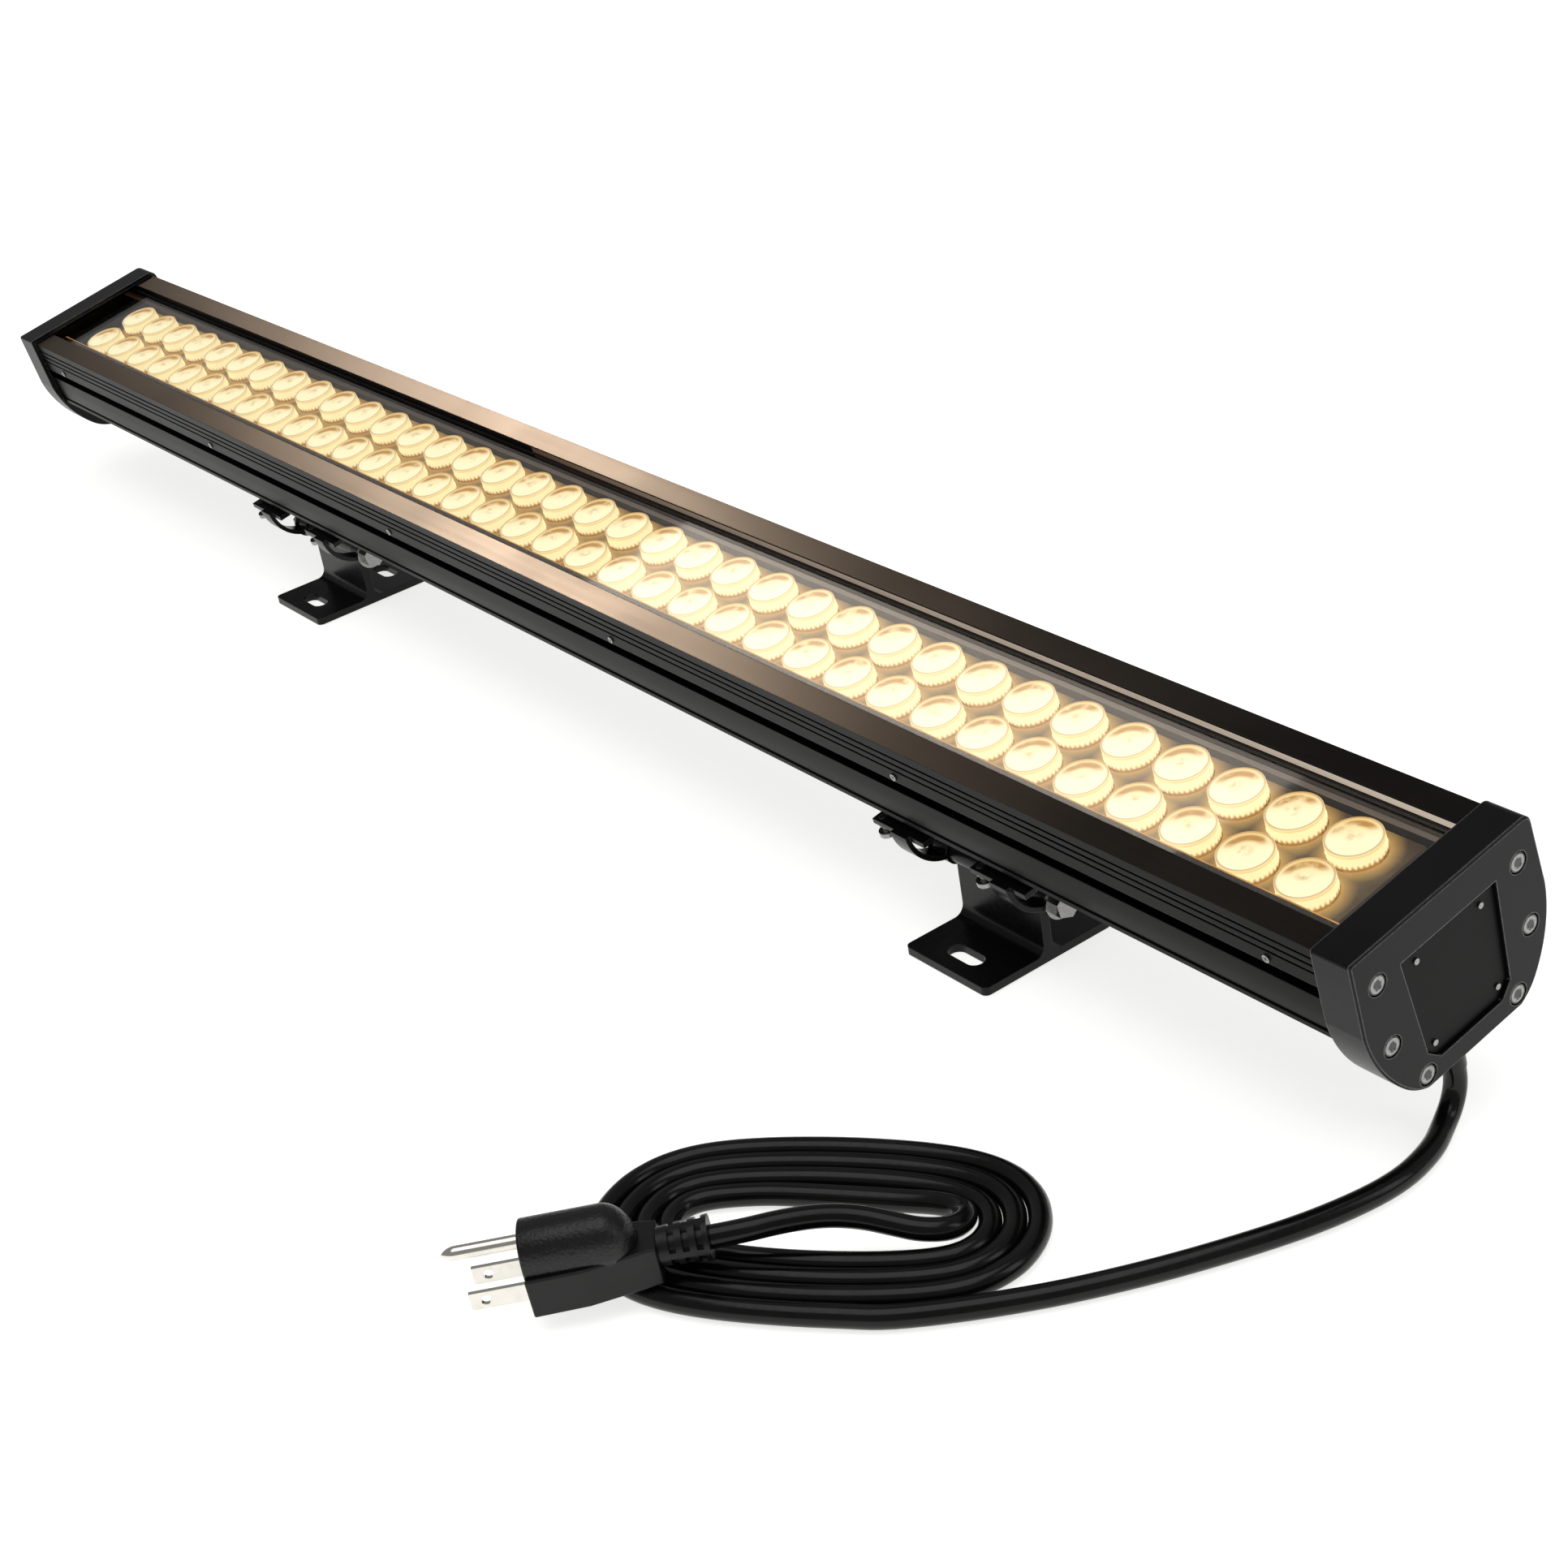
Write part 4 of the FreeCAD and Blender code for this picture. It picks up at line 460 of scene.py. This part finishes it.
# The lead runs from the cap to the coil in the row frame. In COIL's own frame it enters the
# coil, and from its middle it returns over the turns to the plug.
LEAD = [
    EXIT, (491.0, 9.474, 15.885), (492.0, 6.4, 8.5), (494.2, -0.8, 4.0), (500.3, -13.0, 4.0),
    (503.6, -33.0, 4.0), (498.6, -60.0, 4.0), (489.2, -86.5, 4.0), (476.4, -115.8, 3.9),
    (459.3, -147.5, 3.9),
]
ENTRY = [(32.8, -43.6, 3.9), (16.0, -43.6, 3.9)]
RETURN = [
    (12.0, 13.6, 3.9), (24.0, 12.7, 4.0), (35.0, 11.5, 4.7), (44.6, 7.8, 5.8), (47.6, 0.6, 7.4),
    (44.0, -7.0, 9.2), (35.0, -10.0, 10.9), (26.0, -9.4, 12.6), (16.0, -9.0, 14.6),
    (5.0, -11.6, 16.9), (-7.0, -17.2, 18.5), (-18.5, -23.9, 19.4),
]
PLUG_END = (378.5, -204.7, 18.9)
PLUG_HEADING = math.radians(-125)
PLUG_DIP = math.radians(3)
PLUG_FRONT = 57.9


def coil_turns():
    """An oval spiral on the floor: a slim oval grown outwards, less at each turn."""
    slim_length, slim_width, growth = 40.4, 7.0, 36.6
    pitch, loops, steps = 8.1, 3.5, 32
    ease = math.sqrt(slim_length / slim_width)
    for step in range(int(loops * steps)):
        turns = step / steps
        angle = 2 * math.pi * turns
        swing = math.atan2(math.sin(angle) * ease, math.cos(angle))
        x, y = -math.sin(swing), -math.cos(swing)
        normal = Vector((slim_width * x, slim_length * y)).normalized()
        grown = growth - pitch * turns
        yield slim_length * x + normal.x * grown, slim_width * y + normal.y * grown, CORD_RADIUS


def make_plug_body():
    """The moulded plug: a satin base that narrows to the lead, and a grained round grip on it."""
    place = (Matrix.Translation(Vector(PLUG_END) * MM) @ Matrix.Rotation(PLUG_HEADING, 4, "Z")
             @ Matrix.Rotation(PLUG_DIP, 4, "Y"))
    base = bmesh.new()
    half_plan = [(16.4, 7.5), (39.9, 12.0), (PLUG_FRONT, 12.5)]
    plan = half_plan + [(x, -y) for x, y in half_plan[::-1]]
    skin(base, [[base.verts.new((x, y, z)) for x, y in plan] for z in (-9.0, 5.0)])
    outward(base)
    bmesh.ops.bevel(base, geom=base.edges[:], offset=0.7, segments=3, profile=0.5, affect="EDGES")
    base = finish_mesh("plug_base", base, PLUG, place=place)

    # The grip's cross section is a flattened arch. It grows along the heel, then stays.
    grip = bmesh.new()
    heel_start, heel_length, half_width, sill, height = 21.9, 10.5, 10.5, 4.0, 14.0
    swing = [math.pi / 28 * n for n in range(1, 15)]
    sections = [(heel_start + heel_length * (1 - math.cos(t)), math.sin(t)) for t in swing]
    sections += [(40.0, 1.0), (48.0, 1.0), (57.2, 1.0), (57.7, 0.99), (PLUG_FRONT, 0.965)]
    arch = [(math.cos(math.pi * n / 32), math.sin(math.pi * n / 32)) for n in range(33)]
    rings = [[grip.verts.new((x, half_width * grown * math.copysign(abs(c) ** 0.85, c),
                              sill + height * grown * abs(s) ** 0.8)) for c, s in arch]
             for x, grown in sections]
    skin(grip, rings, smooth=True)
    grip = finish_mesh("plug_grip", outward(grip), GRIP, place=place)
    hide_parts("plug_body")
    return [base, grip]


def make_cord(plug_pieces):
    """The mains lead: down from the cap, along the floor, round the coil and up to the plug."""
    route = [Vector(p) for p in LEAD]
    route += [COIL @ Vector(p) for p in [*ENTRY, *coil_turns(), *RETURN]]
    route.append(Vector(PLUG_END))
    data = bpy.data.curves.new("cord_line", "CURVE")
    data.dimensions = "3D"
    spline = data.splines.new("NURBS")
    spline.points.add(len(route) - 1)
    for point, place in zip(spline.points, route):
        point.co = (*(place * MM), 1.0)
    spline.order_u = 3
    spline.use_endpoint_u = True
    spline.resolution_u = 6
    data.bevel_depth = CORD_RADIUS * MM
    data.bevel_resolution = 8
    data.use_fill_caps = True
    data.materials.append(CORD)
    cord = bpy.data.objects.new("cord_line", data)
    bpy.context.collection.objects.link(cord)
    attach(cord, "lamp")
    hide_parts("cord_lead", "cord_coil", "cord_tail")


make_cord(make_plug_body())


# ------------------------------------------------------------------ pieces on the lamp


def revolve(bm, profile, centre, steps):
    """A ring about the lamp's z through centre, from a closed profile of (radius, height)."""
    rings = []
    for step in range(steps):
        c, s = math.cos(2 * math.pi * step / steps), math.sin(2 * math.pi * step / steps)
        rings.append([bm.verts.new((centre[0] + r * c, centre[1] + r * s, z)) for r, z in profile])
    skin(bm, (rings + rings[:1])[::-1], smooth=True, ends=False)


def bar(bm, low, high):
    """A closed box between two corners."""
    corners = [bm.verts.new((x, y, z)) for x in (low[0], high[0]) for y in (low[1], high[1])
               for z in (low[2], high[2])]
    for face in ((0, 1, 3, 2), (4, 6, 7, 5), (0, 4, 5, 1), (2, 3, 7, 6), (0, 2, 6, 4),
                 (1, 5, 7, 3)):
        bm.faces.new([corners[n] for n in face])


def lens_centres():
    for side in (-1, 1):
        for number in range(LENSES):
            yield FIRST_LENS + LENS_PITCH * number, ROW * side


def make_lens_rims():
    """A raised lip round the top of each lens."""
    bm = bmesh.new()
    for centre in lens_centres():
        revolve(bm, [(LENS_RADIUS, -9.32), (9.75, -9.12), (9.3, -9.10), (9.1, -9.34)], centre, 36)
    finish_mesh("lens_rims", bm, LENS)


PRISMS = 26


def make_lens_prisms():
    """Ragged wedges down the wall of each lens, of uneven length."""
    bm = bmesh.new()
    for row, centre in enumerate(lens_centres()):
        for tooth in range(PRISMS):
            angle = 2 * math.pi * (tooth + 0.5 * (row % 2)) / PRISMS
            drop = 0.9 + 0.8 * math.sin(tooth * 2.3 + row * 1.7) ** 2
            out = Vector((math.cos(angle), math.sin(angle)))
            side = Vector((-out.y, out.x))
            corners = []
            for across, radius, z in (
                    (-0.55, 9.85, -12.6), (0.55, 9.85, -12.6), (0.0, 10.15, -12.9),
                    (-0.30, 9.80, -14.6 - drop), (0.30, 9.80, -14.6 - drop),
                    (0.0, 10.05, -14.5 - drop)):
                p = Vector(centre) + out * radius + side * across
                corners.append(bm.verts.new((p.x, p.y, z)))
            a, b, c, d, e, f = corners
            for face in ((a, b, c), (d, f, e), (a, c, f, d), (b, e, f, c), (a, d, e, b)):
                bm.faces.new(face)
    finish_mesh("lens_prisms", bm, LENS)


def make_glass_border():
    """Under the glass: a black printed border in front, the plate's bare margin at the back."""
    inner, outer, half_length, underside, top = 22.3, 27.0, 493.2, -9.36, -9.2
    for name, near, far, material, slot in (
            ("glass_border", -outer, -inner, BORDER, "seal_black"),
            ("plate_margin", inner, outer, margin_with_painted_sheen("margin_painted_sheen"), "plate_amber")):
        bm = bmesh.new()
        bar(bm, (-half_length, near, underside), (half_length, far, top))
        finish_mesh(name, bm, material)


def make_glow_edge():
    """Lens light caught on the lip of the printed border."""
    bm = bmesh.new()
    bar(bm, (-482.0, -22.45, -9.4), (482.0, -21.9, -9.18))
    material = glow("glow_front", rgb(0.85, 0.42, 0.09), 0.75)
    finish_mesh("glow_edge_front", bm, material)


def make_wall_strip():
    """A thin pale sheet on the inner wall of the back flange, from the middle to the right end,
    that carries a painted glint.
    """
    bm = bmesh.new()
    bar(bm, (-60.0, 28.05, -5.7), (493.6, 28.19, -3.2))
    finish_mesh("wall_glint_strip", bm, wall_with_painted_glint("wall_painted_glint"))


CAP_SCREWS = [(y * side, z) for y, z in ((32.3, -13.8), (32.3, -39.2), (21.4, -60.1))
              for side in (-1, 1)]
CAP_RECESS = 1.9
CAP_SCREW_HEAD = 1.6
# Radius and rise of the head's rings: a low dome, then the socket's wall.
CAP_SCREW_DOME = ((3.2, 0.0), (2.9, 0.12), (2.4, 0.20), (1.85, 0.24), (1.8, 0.03))


def make_cap_screw_sockets():
    """Domed button heads in each recess of the end caps, each with a flat dark hexagon for its
    socket: painted shade in place of the socket's hollow.
    """
    domes, socket_shades = bmesh.new(), bmesh.new()
    head = LAMP_HALF - CAP_RECESS + CAP_SCREW_HEAD
    for side in (-1, 1):
        for number, (y, z) in enumerate(CAP_SCREWS):
            skin(domes, [ring_about_x(domes, side * (head + rise), y, z, radius, 24)
                         for radius, rise in CAP_SCREW_DOME], smooth=True)
            # Flat dark hexagons: painted shade where a socket's hollow would be dark.
            skin(socket_shades, [ring_about_x(socket_shades, side * (head + rise), y, z, 1.7, 6, number * 0.5)
                           for rise in (0.02, 0.1)])
    finish_mesh("cap_screw_domes", outward(domes), STEEL)
    finish_mesh("cap_screw_socket_shades", outward(socket_shades), COMPONENT)


SIDE_SCREWS = [(-460.0 + 184.0 * number, -39.8, -16.4) for number in range(6)]


def make_side_screw_crosses():
    """Flat dark crosses on the heads of the small screws in the bar's front side: painted shade in
    place of cut recesses.
    """
    bm = bmesh.new()
    half_length, half_width, depths = 1.0, 0.22, (0.05, -0.03)
    slot = [(-half_length, -half_width), (half_length, -half_width),
            (half_length, half_width), (-half_length, half_width)]
    for number, (x, y, z) in enumerate(SIDE_SCREWS):
        for quarter in (0, math.pi / 2):
            turn = 0.35 + number * 0.5 + quarter
            c, s = math.cos(turn), math.sin(turn)
            skin(bm, [[bm.verts.new((x + a * c - b * s, y + depth, z + a * s + b * c))
                       for a, b in slot] for depth in depths])
    finish_mesh("side_screw_cross_shades", outward(bm), COMPONENT)


make_lens_rims()
make_lens_prisms()
make_glass_border()
make_glow_edge()
make_wall_strip()
make_cap_screw_sockets()
make_side_screw_crosses()


# ------------------------------------------------------------------ floor and light


def make_floor():
    """A pale floor, just under the feet and the lead."""
    bpy.ops.mesh.primitive_plane_add(size=14, location=(0, 0, -0.0004))
    floor = bpy.context.object
    floor.name = "floor"
    s = Shader("floor_pale")
    tone = s.noise(1.2, 2)
    s.set(Base_Color=s.mix(s.ramp(tone, 0.3, 0.7), rgb(0.80, 0.80, 0.79), rgb(0.83, 0.83, 0.82)))
    s.set(Emission_Color=rgb(1.0, 1.0, 0.985))
    s.set(Emission_Strength=0.75, Roughness=0.9, Specular_IOR_Level=0.0)
    floor.data.materials.append(s.material)


def make_backdrop():
    """A round pale wall that closes the studio in low views. It lights and mirrors nothing."""
    bpy.ops.mesh.primitive_cylinder_add(vertices=96, radius=6.9, depth=12, end_fill_type="NOTHING",
                                        location=(0, 0, 5.9))
    wall = bpy.context.object
    wall.name = "backdrop"
    s = Shader("backdrop_pale")
    tone = s.noise(0.5, 2)
    pale = s.mix(s.ramp(tone, 0.3, 0.7), rgb(0.95, 0.95, 0.94), rgb(0.98, 0.98, 0.97))
    s.set(Base_Color=rgb(0.0, 0.0, 0.0), Emission_Color=pale)
    s.set(Emission_Strength=1.0, Specular_IOR_Level=0.0)
    wall.data.materials.append(s.material)
    wall.visible_diffuse = wall.visible_glossy = False
    wall.visible_transmission = wall.visible_shadow = False


def area_light(name, place, target, width, height, power, colour=(1, 1, 1), lights=()):
    """A soft box; where lights names CAD nodes, it lights those alone."""
    data = bpy.data.lights.new(name, "AREA")
    data.shape = "RECTANGLE"
    data.size = width
    data.size_y = height
    data.energy = power
    data.color = colour
    light = bpy.data.objects.new(name, data)
    light.location = place
    light.rotation_euler = (Vector(target) - Vector(place)).to_track_quat("-Z", "Y").to_euler()
    bpy.context.collection.objects.link(light)
    if lights:
        receivers = bpy.data.collections.new(name + "_lights")
        for node in lights:
            receivers.objects.link(NODES[node])
        light.light_linking.receiver_collection = receivers
    return light


def fade_along(light):
    """Let a soft box fade from one end to the other, from full to two thirds of its light."""
    light.use_nodes = True
    nodes, links = light.node_tree.nodes, light.node_tree.links
    across = nodes.new("ShaderNodeSeparateXYZ")
    links.new(nodes.new("ShaderNodeNewGeometry").outputs["Parametric"], across.inputs[0])
    level = nodes.new("ShaderNodeMath")
    level.operation = "MULTIPLY_ADD"
    weakest = 0.65
    level.inputs[1].default_value = 1.0 - weakest
    level.inputs[2].default_value = weakest
    links.new(across.outputs[0], level.inputs[0])
    links.new(level.outputs[0], nodes["Emission"].inputs["Strength"])


def mirror_place(x, y, distance):
    """Where a light stands for the bar's top to mirror it at (x, y), and that point."""
    spot_at = LAMP @ (Vector((x, y, BAR_TOP)) * MM)
    normal = (LAMP.to_3x3() @ Vector((0, 0, 1))).normalized()
    look = (spot_at - bpy.context.scene.camera.matrix_world.translation).normalized()
    away = look - normal * 2 * look.dot(normal)
    return spot_at + away * distance, spot_at


def make_light():
    """A pale sky, a box for each of the two mirrored bands, and two boxes for the whole."""
    world = bpy.data.worlds.new("studio")
    bpy.context.scene.world = world
    world.use_nodes = True
    sky = world.node_tree.nodes["Background"]
    sky.inputs["Color"].default_value = (1.0, 1.0, 0.995, 1.0)
    sky.inputs["Strength"].default_value = 0.26
    # The first box draws the warm band on both flanges, the second the pale film on the glass.
    place, spot_at = mirror_place(40, -33, 1.6)
    area_light("warm_box", place, spot_at, 0.26, 0.30, 23, (1.0, 0.74, 0.53),
               ("housing_profile",))
    place, spot_at = mirror_place(262, 5, 1.6)
    film = area_light("film_box", place, spot_at, 0.62, 0.5, 1.6, (1.0, 0.90, 0.78),
                      ("glass_cover",))
    fade_along(film.data)
    area_light("top_box", (0.5, -0.3, 2.4), (0.2, 0.0, 0.0), 2.2, 2.2, 22)
    area_light("side_box", (1.9, 0.9, 1.1), (0.4, 0.0, 0.1), 0.6, 1.2, 3.5)


make_floor()
make_backdrop()
make_light()
